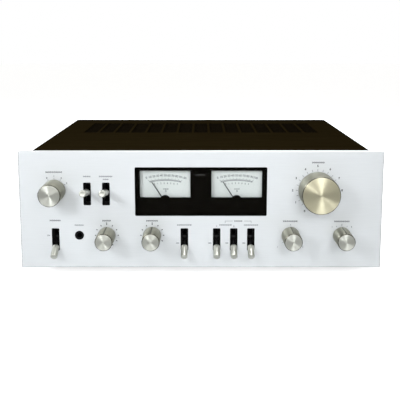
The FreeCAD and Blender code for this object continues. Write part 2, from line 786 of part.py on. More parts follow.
def meter_mask():
    front = PANEL_PLATE_T + PANE_FLANGE_T
    surround = window_slab(PANE_FLANGE, WINDOW_R, front, PANEL_T)
    bottom = FOOT_H + METER_UP
    dome_z = bottom + METER_DOME_H - METER_DOME_R
    for side in (-1, 1):
        x = side * METER_SPREAD
        aperture = box(
            x - METER_APERTURE_W / 2,
            x + METER_APERTURE_W / 2,
            front,
            PANEL_T,
            bottom,
            bottom + METER_APERTURE_H,
        )
        aperture = aperture.cut(rod_y(x, dome_z, METER_DOME_R, front, PANEL_T))
        surround = surround.cut(aperture)
    return surround


# Level meters: case, dial, moving-coil works with its needle, and a lamp over the dial.
def meter_case(x):
    wall = METER_CASE_WALL
    back = PANEL_T + METER_DEEP
    case = box(
        x - METER_HALF - wall,
        x + METER_HALF + wall,
        PANEL_T,
        back,
        METER_FLOOR - wall,
        METER_CEILING + wall,
    )
    front_room = box(
        x - METER_HALF, x + METER_HALF, PANEL_T, DIAL_Y + DIAL_T, METER_FLOOR, METER_CEILING
    )
    rear_room = box(
        x - METER_HALF + METER_LEDGE,
        x + METER_HALF - METER_LEDGE,
        DIAL_Y,
        back - wall,
        METER_FLOOR + METER_LEDGE,
        METER_CEILING - METER_LEDGE,
    )
    return case.cut([front_room, rear_room])


def meter_dial(x):
    plate = box(
        x - METER_HALF + FIT_GAP,
        x + METER_HALF - FIT_GAP,
        DIAL_Y,
        DIAL_Y + DIAL_T,
        METER_FLOOR + FIT_GAP,
        METER_CEILING - FIT_GAP,
    )
    return plate.cut(rod_y(x, PIVOT_Z, DIAL_HOLE_R, DIAL_Y, DIAL_Y + DIAL_T))


def meter_needle(x):
    """Pointer, hub, staff and coil in one, turned to the rest angle."""
    back = DIAL_Y - NEEDLE_CLEAR
    front = back - NEEDLE_T
    half_w = NEEDLE_W / 2
    half_tip = NEEDLE_TIP_W / 2
    outline = [
        Vector(x - half_w, front, PIVOT_Z - NEEDLE_TAIL),
        Vector(x + half_w, front, PIVOT_Z - NEEDLE_TAIL),
        Vector(x + half_tip, front, PIVOT_Z + NEEDLE_L),
        Vector(x - half_tip, front, PIVOT_Z + NEEDLE_L),
    ]
    pointer = Part.Face(Part.makePolygon(outline + outline[:1])).extrude(Vector(0, NEEDLE_T, 0))
    coil_start = MAGNET_Y + (MAGNET_DEEP - MAGNET_BACK_T - COIL_L) / 2
    coil = box(
        x - COIL_T / 2,
        x + COIL_T / 2,
        coil_start,
        coil_start + COIL_L,
        PIVOT_Z - COIL_W / 2,
        PIVOT_Z + COIL_W / 2,
    )
    coil_room = box(
        x - COIL_T / 2,
        x + COIL_T / 2,
        coil_start + COIL_WIRE,
        coil_start + COIL_L - COIL_WIRE,
        PIVOT_Z - COIL_W / 2 + COIL_WIRE,
        PIVOT_Z + COIL_W / 2 - COIL_WIRE,
    )
    needle = joined(
        pointer,
        rod_y(x, PIVOT_Z, NEEDLE_HUB_R, front - NEEDLE_T, back + NEEDLE_T),
        rod_y(x, PIVOT_Z, STAFF_R, front, MAGNET_Y + MAGNET_DEEP - RUN_GAP),
        coil.cut(coil_room),
    )
    needle.rotate(Vector(x, 0, PIVOT_Z), Vector(0, 1, 0), NEEDLE_REST)
    return needle


def meter_movements():
    """Magnet block with the rear bearing, and the bridge that holds the front bearing."""
    made = []
    for side in (-1, 1):
        x = side * METER_SPREAD
        block = box(
            x - MAGNET_W / 2,
            x + MAGNET_W / 2,
            MAGNET_Y,
            MAGNET_Y + MAGNET_DEEP,
            METER_FLOOR + METER_LEDGE,
            PIVOT_Z + MAGNET_OVER,
        )
        bearing = rod_y(x, PIVOT_Z, STAFF_R + RUN_GAP, MAGNET_Y - BRIDGE_T, MAGNET_Y + MAGNET_DEEP)
        chamber = rod_y(x, PIVOT_Z, MAGNET_BORE_R, MAGNET_Y, MAGNET_Y + MAGNET_DEEP - MAGNET_BACK_T)
        bridge = box(
            x - MAGNET_W / 2,
            x + MAGNET_W / 2,
            MAGNET_Y - BRIDGE_T,
            MAGNET_Y,
            PIVOT_Z - BRIDGE_H / 2,
            PIVOT_Z + BRIDGE_H / 2,
        )
        made.append(block.cut([chamber, bearing]))
        made.append(bridge.cut(bearing))
    return made


def meter_lamps():
    made = []
    z = METER_CEILING - METER_LEDGE - LAMP_CAP_R - FIT_GAP
    y = DIAL_Y + DIAL_T + METER_DEEP / 2
    for side in (-1, 1):
        x = side * METER_SPREAD
        tube = rod_x(y, z, LAMP_R, x - LAMP_L / 2, x + LAMP_L / 2)
        left = rod_x(y, z, LAMP_CAP_R, x - LAMP_L / 2 - LAMP_CAP_L, x - LAMP_L / 2)
        right = rod_x(y, z, LAMP_CAP_R, x + LAMP_L / 2, x + LAMP_L / 2 + LAMP_CAP_L)
        made.append(joined(tube, left, right))
    return made


# Headphone socket.
def headphone_jack():
    z = FOOT_H + LOWER_ROW
    half = JACK_BODY_W / 2
    nose = rod_y(PHONES_X, z, JACK_HOLE_R - FIT_GAP, JACK_SET, SUB_BACK)
    body = box(
        PHONES_X - half, PHONES_X + half, SUB_BACK, SUB_BACK + JACK_BODY_DEEP, z - half, z + half
    )
    bore = rod_y(PHONES_X, z, JACK_BORE_R, JACK_SET, JACK_SET + JACK_BORE_DEEP)
    return joined(nose, body).cut(bore)


# Knobs, their shafts, and the controls that the shafts turn.
def knob(x, up, radius, mark):
    z = FOOT_H + up
    front = -KNOB_PROUD
    rear = -KNOB_GAP
    groove_y = front + KNOB_LIP
    rear_radius = radius + KNOB_TAPER
    bore = SHAFT_R + RUN_GAP
    turned = turned_y(
        x,
        z,
        [
            (0, front),
            (radius - KNOB_BEVEL, front),
            (radius, front + KNOB_BEVEL),
            (radius, groove_y),
            (radius - KNOB_GROOVE_D, groove_y),
            (radius - KNOB_GROOVE_D, groove_y + KNOB_GROOVE_W),
            (radius, groove_y + KNOB_GROOVE_W),
            (rear_radius, rear - KNOB_BEVEL),
            (rear_radius - KNOB_BEVEL, rear),
            (radius - KNOB_SKIRT_T, rear),
            (radius - KNOB_SKIRT_T, rear - KNOB_SKIRT_DEEP),
            (KNOB_BOSS_R, rear - KNOB_SKIRT_DEEP),
            (KNOB_BOSS_R, rear),
            (bore, rear),
            (bore, rear - KNOB_BORE_DEEP),
            (0, rear - KNOB_BORE_DEEP),
        ],
    )
    groove = box(
        x - KNOB_MARK_W / 2,
        x + KNOB_MARK_W / 2,
        groove_y + KNOB_GROOVE_W,
        rear,
        z + radius - KNOB_MARK_D,
        z + rear_radius + KNOB_MARK_D,
    )
    groove.rotate(Vector(x, 0, z), Vector(0, 1, 0), mark)
    return turned.cut(groove)


def knob_shaft(x, up):
    z = FOOT_H + up
    return rod_y(x, z, SHAFT_R, FIT_GAP - KNOB_GAP - KNOB_BORE_DEEP, SUB_BACK + SHAFT_INSIDE)


def bush_and_nut(x, z):
    bush = rod_y(x, z, BUSH_R, PANEL_T - BUSH_OUT, SUB_BACK + BUSH_IN)
    nut = hexagon_y(x, z, NUT_RADIUS, PANEL_T - NUT_T, PANEL_T)
    return bush.fuse(nut)


def shaft_bore(x, z):
    return rod_y(x, z, SHAFT_R + RUN_GAP, 0, SUB_BACK + SHAFT_INSIDE + RUN_GAP)


def potentiometer(x, up, radius, deep):
    """Turned can on a square tab that carries the solder tags."""
    z = FOOT_H + up
    can = rod_y(x, z, radius, SUB_BACK, SUB_BACK + deep)
    tab_y = SUB_BACK + deep / 2
    tab = box(
        x - POT_TAB_W / 2,
        x + POT_TAB_W / 2,
        tab_y,
        tab_y + POT_TAB_T,
        z - radius - POT_TAB_H,
        z,
    )
    return joined(can, tab, bush_and_nut(x, z)).cut(shaft_bore(x, z))


def rotary_switch(x, up):
    """Detent housing with wafers stacked behind it on two tie rods."""
    z = FOOT_H + up
    pieces = [rod_y(x, z, INDEX_R, SUB_BACK, SUB_BACK + INDEX_DEEP), bush_and_nut(x, z)]
    stack = INDEX_DEEP + WAFER_COUNT * WAFER_PITCH + WAFER_T
    for side in (-1, 1):
        pieces.append(rod_y(x + side * TIE_ROD_SPREAD, z, TIE_ROD_R, SUB_BACK, SUB_BACK + stack))
    for wafer in range(1, WAFER_COUNT + 1):
        y = SUB_BACK + INDEX_DEEP + wafer * WAFER_PITCH - WAFER_T
        pieces.append(rod_y(x, z, WAFER_R, y, y + WAFER_T))
    return joined(*pieces).cut(shaft_bore(x, z))


# Lever switches: cap on a flat arm that swings on a pin between two cheeks.
def lever(x, up, swing, reach):
    z = FOOT_H + up
    cap_end = LEVER_PIVOT - reach
    cap_root = LEVER_PIVOT - LEVER_CAP_START
    turned = turned_y(
        x,
        z,
        [
            (0, cap_end + LEVER_DISH),
            (LEVER_DISH_R, cap_end),
            (LEVER_R - LEVER_BEVEL, cap_end),
            (LEVER_R, cap_end + LEVER_BEVEL),
            (LEVER_R, cap_root - LEVER_BEVEL),
            (LEVER_R - LEVER_BEVEL, cap_root),
            (0, cap_root),
        ],
    )
    tang_end = cap_root - LEVER_TANG
    mortise = box(
        x - ARM_T / 2 - RUN_GAP,
        x + ARM_T / 2 + RUN_GAP,
        tang_end - RUN_GAP,
        cap_root,
        z - ARM_H / 2 - RUN_GAP,
        z + ARM_H / 2 + RUN_GAP,
    )
    cap = turned.cut(mortise)
    arm = joined(
        box(x - ARM_T / 2, x + ARM_T / 2, tang_end, LEVER_PIVOT, z - ARM_H / 2, z + ARM_H / 2),
        box(
            x - ARM_T / 2,
            x + ARM_T / 2,
            LEVER_PIVOT,
            LEVER_PIVOT + FINGER_L,
            z - FINGER_H / 2,
            z + FINGER_H / 2,
        ),
        rod_x(LEVER_PIVOT, z, HUB_R, x - HUB_W / 2, x + HUB_W / 2),
    )
    arm = arm.cut(rod_x(LEVER_PIVOT, z, PIVOT_R + RUN_GAP, x - HUB_W, x + HUB_W))
    for piece in (cap, arm):
        piece.rotate(Vector(x, LEVER_PIVOT, z), Vector(1, 0, 0), swing)
    return [cap, arm]


def lever_switch(x, up, deep):
    z = FOOT_H + up
    start = LEVER_PIVOT + SWITCH_START
    cheek_in = HUB_W / 2 + SEAT_GAP
    cheek_out = cheek_in + CHEEK_T
    pieces = [
        box(
            x - SWITCH_W / 2,
            x + SWITCH_W / 2,
            start,
            start + deep,
            z - SWITCH_H / 2,
            z + SWITCH_H / 2,
        ),
        box(
            x - SWITCH_FLANGE_W / 2,
            x + SWITCH_FLANGE_W / 2,
            SUB_BACK,
            SUB_BACK + CHEEK_T,
            z - SWITCH_FLANGE_H / 2,
            z + SWITCH_FLANGE_H / 2,
        ),
        rod_x(LEVER_PIVOT, z, PIVOT_R, x - cheek_out, x + cheek_out),
    ]
    for side in (-1, 1):
        near, far = sorted((x + side * cheek_in, x + side * cheek_out))
        pieces.append(box(near, far, SUB_BACK, start, z - CHEEK_H / 2, z + CHEEK_H / 2))
        pieces.append(
            box(
                near,
                far,
                start + deep,
                start + deep + SWITCH_TAG_L,
                z - SWITCH_H / 4,
                z + SWITCH_H / 4,
            )
        )
    body = joined(*pieces)
    finger_pocket = box(
        x - ARM_T / 2 - SEAT_GAP,
        x + ARM_T / 2 + SEAT_GAP,
        start,
        start + SWITCH_POCKET,
        z - SWITCH_POCKET_H / 2,
        z + SWITCH_POCKET_H / 2,
    )
    arm_gate = box(
        x - cheek_in,
        x + cheek_in,
        SUB_BACK,
        SUB_BACK + CHEEK_T,
        z - SUB_SLOT_H / 2,
        z + SUB_SLOT_H / 2,
    )
    return body.cut([finger_pocket, arm_gate])


def lever_switches():
    made = []
    for name, (x, up, _, _) in LEVERS.items():
        if name != "power":
            made.append(lever_switch(x, up, SWITCH_DEEP))
    return made


# Power transformer: stacked core on the floor, with the winding round its middle limb.
def transformer_core():
    half_w = CORE_W / 2
    half_t = CORE_T / 2
    core = box(CORE_X - half_w, CORE_X + half_w, CORE_Y - half_t, CORE_Y + half_t, FLOOR, FLOOR + CORE_H)
    windows = []
    for side in (-1, 1):
        near, far = sorted(
            (CORE_X + side * CORE_LIMB, CORE_X + side * (half_w - CORE_LIMB))
        )
        windows.append(
            box(
                near,
                far,
                CORE_Y - half_t,
                CORE_Y + half_t,
                FLOOR + CORE_LIMB,
                FLOOR + CORE_H - CORE_LIMB,
            )
        )
    return core.cut(windows)


def transformer_winding():
    half_w = CORE_W / 2 - CORE_LIMB - WINDING_GAP
    half_t = CORE_T / 2 + COIL_BOBBIN_OUT
    low = FLOOR + CORE_LIMB + WINDING_GAP
    high = FLOOR + CORE_H - CORE_LIMB - WINDING_GAP
    coil = box(CORE_X - half_w, CORE_X + half_w, CORE_Y - half_t, CORE_Y + half_t, low, high)
    coil = coil.makeFillet(COIL_BOBBIN_OUT * 0.6, edges_along(coil, Vector(0, 0, 1)))
    limb = box(
        CORE_X - CORE_LIMB - WINDING_GAP,
        CORE_X + CORE_LIMB + WINDING_GAP,
        CORE_Y - CORE_T / 2 - WINDING_GAP,
        CORE_Y + CORE_T / 2 + WINDING_GAP,
        low,
        high,
    )
    return coil.cut(limb)


def filter_capacitors():
    made = []
    for step in (0, 1):
        y = CAP_Y + step * CAP_PITCH
        top = FLOOR + CAP_H
        made.append(
            turned_z(
                CAP_X,
                y,
                [
                    (0, FLOOR),
                    (CAP_R, FLOOR),
                    (CAP_R, top - 3 * CAP_BEAD),
                    (CAP_R - CAP_BEAD, top - 2 * CAP_BEAD),
                    (CAP_R, top - CAP_BEAD),
                    (CAP_R - CAP_BEAD, top),
                    (CAP_R - 3 * CAP_BEAD, top - CAP_BEAD),
                    (0, top - CAP_BEAD),
                ],
            )
        )
    return made


# Heat sink with the output transistors on its front face.
def heat_sink():
    half = SINK_W / 2
    comb = [
        Vector(SINK_X - half, SINK_Y, FLOOR),
        Vector(SINK_X + half, SINK_Y, FLOOR),
    ]
    gap = (SINK_W - SINK_FINS * SINK_FIN_T) / (SINK_FINS - 1)
    root = SINK_Y + SINK_BASE_T
    tip = root + SINK_FIN_L
    for fin in range(SINK_FINS):
        right = SINK_X + half - fin * (gap + SINK_FIN_T)
        left = right - SINK_FIN_T
        if fin > 0:
            comb.append(Vector(right, root, FLOOR))
        comb.append(Vector(right, tip, FLOOR))
        comb.append(Vector(left, tip, FLOOR))
        if fin < SINK_FINS - 1:
            comb.append(Vector(left, root, FLOOR))
    return Part.Face(Part.makePolygon(comb + comb[:1])).extrude(Vector(0, 0, SINK_H))


def power_transistors():
    made = []
    z = FLOOR + TRANSISTOR_UP
    for step in (-1.5, -0.5, 0.5, 1.5):
        x = SINK_X + step * TRANSISTOR_PITCH
        base_front = SINK_Y - TRANSISTOR_BASE_T
        base = box(
            x - TRANSISTOR_BASE_W / 2,
            x + TRANSISTOR_BASE_W / 2,
            base_front,
            SINK_Y,
            z - TRANSISTOR_BASE_H / 2,
            z + TRANSISTOR_BASE_H / 2,
        )
        can = rod_y(x, z, TRANSISTOR_R, base_front - TRANSISTOR_H, base_front)
        made.append(joined(base, can))
    return made


# Circuit boards on the pan's lugs, each with its capacitors.
def circuit_board(x, y, w, l, parts_across, parts_deep):
    low = FLOOR + BOARD_LIFT
    pieces = [box(x - w / 2, x + w / 2, y - l / 2, y + l / 2, low, low + BOARD_T)]
    for column in range(parts_across):
        for row in range(parts_deep):
            part_x = x + w * ((column + 0.5) / parts_across - 0.5)
            part_y = y + l * ((row + 0.5) / parts_deep - 0.5)
            pieces.append(rod_z(part_x, part_y, PART_R, low, low + BOARD_T + PART_H))
    return joined(*pieces)


# Sockets, terminals and outlets of the rear panel.
def phono_sockets():
    made = []
    for x, z in phono_places():
        mouth = REAR_OUT + PHONO_FLANGE_T + PHONO_L
        made.append(
            turned_y(
                x,
                z,
                [
                    (0, REAR_IN - PHONO_BEHIND),
                    (PHONO_NECK_R, REAR_IN - PHONO_BEHIND),
                    (PHONO_NECK_R, REAR_OUT),
                    (PHONO_FLANGE_R, REAR_OUT),
                    (PHONO_FLANGE_R, REAR_OUT + PHONO_FLANGE_T),
                    (PHONO_R, REAR_OUT + PHONO_FLANGE_T),
                    (PHONO_R, mouth),
                    (PHONO_HOLE_R, mouth),
                    (PHONO_HOLE_R, REAR_OUT),
                    (0, REAR_OUT),
                ],
            )
        )
    return made


def ground_terminal():
    z = FOOT_H + PHONO_UP
    tip = REAR_OUT + GROUND_POST_L
    post = rod_y(GROUND_X, z, GROUND_POST_R, REAR_IN - GROUND_NUT_T / 2, tip)
    nut = rod_y(GROUND_X, z, GROUND_NUT_R, REAR_OUT, REAR_OUT + GROUND_NUT_T)
    return joined(post, nut)


def speaker_terminals():
    """Insulating board with the threaded posts."""
    half_w = TERMINAL_PITCH_X * (TERMINAL_COLUMNS - 1) / 2 + TERMINAL_MARGIN
    half_h = TERMINAL_PITCH_Z / 2 + TERMINAL_MARGIN
    z = FOOT_H + TERMINAL_UP
    front = REAR_OUT + TERMINAL_BOARD_T
    tip = front + TERMINAL_CAP_L - TERMINAL_CAP_END
    board = rounded_window(
        TERMINAL_X - half_w,
        TERMINAL_X + half_w,
        z - half_h,
        z + half_h,
        TERMINAL_BOARD_T,
        REAR_OUT,
        front,
    )
    posts = [
        rod_y(x, z_post, TERMINAL_POST_R, REAR_IN - TERMINAL_BOARD_T, tip)
        for x, z_post in terminal_places()
    ]
    return joined(board, *posts)


def terminal_caps():
    made = []
    front = REAR_OUT + TERMINAL_BOARD_T + TERMINAL_CAP_GAP
    for x, z in terminal_places():
        made.append(
            turned_y(
                x,
                z,
                [
                    (TERMINAL_POST_R + RUN_GAP, front),
                    (TERMINAL_CAP_R, front),
                    (TERMINAL_CAP_R, front + TERMINAL_CAP_L - KNOB_BEVEL),
                    (TERMINAL_CAP_R - KNOB_BEVEL, front + TERMINAL_CAP_L),
                    (0, front + TERMINAL_CAP_L),
                    (0, front + TERMINAL_CAP_L - TERMINAL_CAP_END),
                    (TERMINAL_POST_R + RUN_GAP, front + TERMINAL_CAP_L - TERMINAL_CAP_END),
                ],
            )
        )
    return made


def ac_outlets():
    made = []
    for x, z in outlet_places():
        face = REAR_OUT + OUTLET_FACE_T
        body = joined(
            rounded_window(
                x - OUTLET_W / 2,
                x + OUTLET_W / 2,
                z - OUTLET_H / 2,
                z + OUTLET_H / 2,
                OUTLET_FACE_T,
                REAR_OUT,
                face,
            ),
            box(
                x - OUTLET_BODY_W / 2,
                x + OUTLET_BODY_W / 2,
                REAR_IN - OUTLET_BODY_DEEP,
                REAR_OUT,
                z - OUTLET_BODY_H / 2,
                z + OUTLET_BODY_H / 2,
            ),
        )
        blades = []
        for side in (-1, 1):
            blade_x = x + side * OUTLET_BLADE_SPREAD
            blades.append(
                box(
                    blade_x - OUTLET_BLADE_W / 2,
                    blade_x + OUTLET_BLADE_W / 2,
                    face - OUTLET_BLADE_DEEP,
                    face,
                    z - OUTLET_BLADE_H / 2,
                    z + OUTLET_BLADE_H / 2,
                )
            )
        made.append(body.cut(blades))
    return made


def cord_gland():
    """Bush for the mains cord, flanged outside and held by a lip inside."""
    z = FOOT_H + GLAND_UP
    flange_face = REAR_OUT + GLAND_FLANGE_T
    return turned_y(
        GLAND_X,
        z,
        [
            (GLAND_BORE_R, REAR_IN - GLAND_BEHIND),
            (GLAND_NECK_R, REAR_IN - GLAND_BEHIND),
            (GLAND_NECK_R, REAR_OUT),
            (GLAND_FLANGE_R, REAR_OUT),
            (GLAND_FLANGE_R, flange_face),
            (GLAND_NOSE_R + GLAND_DRAFT, flange_face),
            (GLAND_NOSE_R, flange_face + GLAND_NOSE_L),
            (GLAND_BORE_R, flange_face + GLAND_NOSE_L),
        ],
    )


def write_part(name, shape):
    """Write one node, moved so that the origin is under the middle of the amplifier."""
    if isinstance(shape, list):
        shape = Part.makeCompound(shape)
    placed = shape.translated(Vector(0, SHIFT_Y, 0))
    assert placed.isValid(), name
    placed.exportStep(os.path.join("parts", name + ".step"))


def main():
    os.makedirs("parts", exist_ok=True)
    write_part("front_panel", front_panel())
    write_part("front_subpanel", front_subpanel())
    write_part("chassis_pan", chassis_pan())
    write_part("rear_panel", rear_panel())
    write_part("top_cover", top_cover())
    write_part("vent_screen", vent_screen())
    write_part("feet", feet())
    write_part("foot_screws", foot_screws())
    write_part("case_screws", case_screws())
    write_part("window_pane", window_pane())
    write_part("meter_mask", meter_mask())
    for side, x in (("left", -METER_SPREAD), ("right", METER_SPREAD)):
        write_part(side + "_meter_case", meter_case(x))
        write_part(side + "_meter_dial", meter_dial(x))
        write_part(side + "_meter_needle", meter_needle(x))
    write_part("meter_movements", meter_movements())
    write_part("meter_lamps", meter_lamps())
    write_part("headphone_jack", headphone_jack())
    for name, (x, up, radius, mark) in KNOBS.items():
        write_part(name + "_knob", knob(x, up, radius, mark))
        write_part(name + "_shaft", knob_shaft(x, up))
        if name in ROTARY_SWITCHES:
            write_part(name + "_switch", rotary_switch(x, up))
        elif name == "volume":
            write_part(name + "_control", potentiometer(x, up, VOLUME_POT_R, VOLUME_POT_DEEP))
        else:
            write_part(name + "_control", potentiometer(x, up, POT_R, POT_DEEP))
    for name, (x, up, swing, reach) in LEVERS.items():
        write_part(name + "_lever", lever(x, up, swing, reach))
    write_part("power_switch", lever_switch(POWER_X, LOWER_LEVER_ROW, POWER_SWITCH_DEEP))
    write_part("lever_switches", lever_switches())
    write_part("transformer_core", transformer_core())
    write_part("transformer_winding", transformer_winding())
    write_part("filter_capacitors", filter_capacitors())
    write_part("heat_sink", heat_sink())
    write_part("power_transistors", power_transistors())
    write_part("amplifier_board", circuit_board(SINK_X, AMP_BOARD_Y, AMP_BOARD_W, AMP_BOARD_L, 7, 2))
    write_part("preamplifier_board", circuit_board(PREAMP_X, PREAMP_Y, PREAMP_W, PREAMP_L, 6, 2))
    write_part("phono_sockets", phono_sockets())
    write_part("ground_terminal", ground_terminal())
    write_part("speaker_terminals", speaker_terminals())
    write_part("terminal_caps", terminal_caps())
    write_part("ac_outlets", ac_outlets())
    write_part("cord_gland", cord_gland())


main()
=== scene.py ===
# Stereo amplifier with two level meters, six knobs and seven lever switches, dressed piece by
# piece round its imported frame. Sizes inside a piece are in millimetres: x to the right, y back
# from the panel's front face, z up from the floor.
import json
import math

import bmesh
import bpy
from mathutils import Matrix, Vector


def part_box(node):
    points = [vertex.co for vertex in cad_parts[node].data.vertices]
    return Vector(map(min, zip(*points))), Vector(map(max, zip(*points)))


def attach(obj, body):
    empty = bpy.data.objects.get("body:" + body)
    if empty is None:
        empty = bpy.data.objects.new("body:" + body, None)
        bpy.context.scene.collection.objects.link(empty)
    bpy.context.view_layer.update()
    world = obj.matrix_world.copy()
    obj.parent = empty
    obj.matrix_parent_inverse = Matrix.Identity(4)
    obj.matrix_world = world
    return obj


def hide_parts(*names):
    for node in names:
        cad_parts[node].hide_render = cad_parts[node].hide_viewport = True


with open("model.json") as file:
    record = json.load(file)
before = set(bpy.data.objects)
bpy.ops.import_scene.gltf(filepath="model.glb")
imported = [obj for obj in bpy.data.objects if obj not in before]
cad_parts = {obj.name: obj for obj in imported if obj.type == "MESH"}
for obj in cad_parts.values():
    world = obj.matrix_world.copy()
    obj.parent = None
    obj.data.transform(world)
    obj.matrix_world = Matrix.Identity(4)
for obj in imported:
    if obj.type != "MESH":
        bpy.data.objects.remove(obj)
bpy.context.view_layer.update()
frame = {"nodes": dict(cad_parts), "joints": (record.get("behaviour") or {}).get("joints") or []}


# Studio. The camera is where the photograph's was: before the panel's middle, a little above the
# amplifier and turned down at it. The lamps are soft boxes: a wide one in front, two with grids for
# the panel's halves, one above and one on the left that graze it, and one behind for the rear.
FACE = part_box("front_panel")[0].y
CAMERA_BEFORE = 733
CAMERA_UP = 280.2
CAMERA_DOWN = 8.0  # degrees


def at(x, y, z):
    """The frame's point that lies x across, y behind the panel's face and z up, in millimetres."""
    return Vector((x / 1000, FACE + y / 1000, z / 1000))


def srgb(code):
    """The linear colour of a hex value."""
    parts = [int(code[i : i + 2], 16) / 255 for i in (0, 2, 4)]
    return (*[p / 12.92 if p <= 0.04045 else ((p + 0.055) / 1.055) ** 2.4 for p in parts], 1.0)


def add_node(tree, kind, settings=None, links=None):
    """A node with its settings, and its inputs set to values or linked to other nodes' outputs."""
    node = tree.nodes.new(kind)
    for name, value in (settings or {}).items():
        setattr(node, name, value)
    for name, value in (links or {}).items():
        socket = node.inputs[name]
        if isinstance(value, bpy.types.NodeSocket):
            tree.links.new(value, socket)
        else:
            socket.default_value = value
    return node


camera = bpy.data.objects.new("camera", bpy.data.cameras.new("camera"))
camera.data.sensor_width = 36
camera.data.lens = 58.5
camera.data.shift_x = -0.0023
camera.data.shift_y = -0.18
camera.location = at(0, -CAMERA_BEFORE, CAMERA_UP)
camera.rotation_euler = (math.radians(90 - CAMERA_DOWN), 0, 0)
bpy.context.scene.collection.objects.link(camera)
bpy.context.scene.camera = camera
bpy.context.scene.view_settings.view_transform = "Standard"

# the camera, glass and metal see a white studio, and everything else gets its weak warm light
world = bpy.data.worlds.new("studio")
bpy.context.scene.world = world
world.use_nodes = True
world.node_tree.nodes.clear()
path = add_node(world.node_tree, "ShaderNodeLightPath")
seen = add_node(
    world.node_tree,
    "ShaderNodeMath",
    {"operation": "MAXIMUM"},
    {0: path.outputs["Is Camera Ray"], 1: path.outputs["Is Transmission Ray"]},
)
seen = add_node(
    world.node_tree,
    "ShaderNodeMath",
    {"operation": "MAXIMUM"},
    {0: seen.outputs[0], 1: path.outputs["Is Glossy Ray"]},
)
room = add_node(
    world.node_tree,
    "ShaderNodeBackground",
    links={"Color": srgb("fbf8f2"), "Strength": 0.22},
)
white = add_node(
    world.node_tree,
    "ShaderNodeBackground",
    links={"Color": (1, 1, 1, 1), "Strength": 1.0},
)
mixed = add_node(
    world.node_tree,
    "ShaderNodeMixShader",
    links={0: seen.outputs[0], 1: room.outputs[0], 2: white.outputs[0]},
)
add_node(world.node_tree, "ShaderNodeOutputWorld", links={"Surface": mixed.outputs[0]})


def lamp(name, place, aim, width, depth, power, spread=180):
    """A soft rectangular lamp that points at a place: metres, watts and a spread in degrees."""
    light = bpy.data.lights.new(name, "AREA")
    light.color = srgb("f3f7fe")[:3]
    light.shape = "RECTANGLE"
    light.size = width
    light.size_y = depth
    light.energy = power
    light.spread = math.radians(spread)
    holder = bpy.data.objects.new(name, light)
    holder.location = place
    holder.rotation_euler = (aim - place).to_track_quat("-Z", "Y").to_euler()
    bpy.context.scene.collection.objects.link(holder)


lamp("lamp_front", Vector((0, -1.65, 0.5)), at(0, 0, 80), 1.0, 0.4, 3.5)
lamp("lamp_left", Vector((-0.52, -0.78, 0.5)), at(-100, 0, 135), 0.15, 0.3, 0.72, 80)
lamp("lamp_right", Vector((0.26, -0.78, 0.42)), at(120, 0, 80), 0.26, 0.25, 0.24, 60)
lamp("lamp_side", Vector((-0.95, -0.35, 0.65)), at(0, 0, 80), 0.1, 0.3, 4.2)
lamp("lamp_top", Vector((0.05, -0.28, 1.0)), at(0, 0, 80), 0.3, 0.15, 2.2)
lamp("lamp_rear", Vector((0.35, 1.6, 0.55)), at(0, 300, 80), 0.8, 0.4, 14)


def new_material(name, base, metallic, roughness):
    """A material with its shader; the patterns are linked to the shader afterwards."""
    material = bpy.data.materials.new(name)
    material.use_nodes = True
    tree = material.node_tree
    shader = tree.nodes["Principled BSDF"]
    shader.inputs["Base Color"].default_value = srgb(base)
    shader.inputs["Metallic"].default_value = metallic
    shader.inputs["Roughness"].default_value = roughness
    return material, tree, shader


NOISE_LOW, NOISE_HIGH = 0.3, 0.7  # the part of the noise's range that it fills


def grain(tree, shader, scale, colours=None, rough=None, bump=None, stretch=(1, 1, 1), detail=3.0):
    """Links a noise to a shader's colour, roughness and bump. Scale is in cycles a millimetre."""
    place = add_node(tree, "ShaderNodeTexCoord")
    mapping = add_node(
        tree,
        "ShaderNodeMapping",
        links={"Vector": place.outputs["Object"], "Scale": [s * scale * 1000 for s in stretch]},
    )
    noise = add_node(
        tree,
        "ShaderNodeTexNoise",
        links={"Vector": mapping.outputs[0], "Scale": 1.0, "Detail": detail},
    )
    if colours:
        ramp = add_node(tree, "ShaderNodeValToRGB", links={"Fac": noise.outputs["Fac"]})
        for element, position, colour in zip(
            ramp.color_ramp.elements, (NOISE_LOW, NOISE_HIGH), colours
        ):
            element.position = position
            element.color = srgb(colour)
        tree.links.new(ramp.outputs["Color"], shader.inputs["Base Color"])
    if rough:
        spread = add_node(
            tree,
            "ShaderNodeMapRange",
            links={
                "Value": noise.outputs["Fac"],
                1: NOISE_LOW,
                2: NOISE_HIGH,
                3: rough[0],
                4: rough[1],
            },
        )
        tree.links.new(spread.outputs[0], shader.inputs["Roughness"])
    if bump:
        raised = add_node(
            tree,
            "ShaderNodeBump",
            links={"Height": noise.outputs["Fac"], "Strength": bump[0], "Distance": bump[1] / 1000},
        )
        tree.links.new(raised.outputs[0], shader.inputs["Normal"])


FLOOR_LIFT = 0.775  # brings the floor to white for the camera and keeps the shadow on it
floor_mesh = bmesh.new()
bmesh.ops.create_grid(floor_mesh, x_segments=1, y_segments=1, size=6)
floor_data = bpy.data.meshes.new("studio_floor")
floor_mesh.to_mesh(floor_data)
floor_mesh.free()
floor = bpy.data.objects.new("studio_floor", floor_data)
bpy.context.scene.collection.objects.link(floor)
# rolled emulsion paint: dull, mottled over 50 mm
floor_paint, tree, shader = new_material("floor_white_paint", "f2f3f4", 0, 0.9)
grain(tree, shader, 0.02, ("f0f1f2", "f5f6f6"), (0.85, 0.95))
shader.inputs["Specular IOR Level"].default_value = 0.1
path = add_node(tree, "ShaderNodeLightPath")
lift = add_node(
    tree,
    "ShaderNodeMath",
    {"operation": "MULTIPLY"},
    {0: path.outputs["Is Camera Ray"], 1: FLOOR_LIFT},
)
shader.inputs["Emission Color"].default_value = (1, 1, 1, 1)
tree.links.new(lift.outputs[0], shader.inputs["Emission Strength"])
floor_data.materials.append(floor_paint)


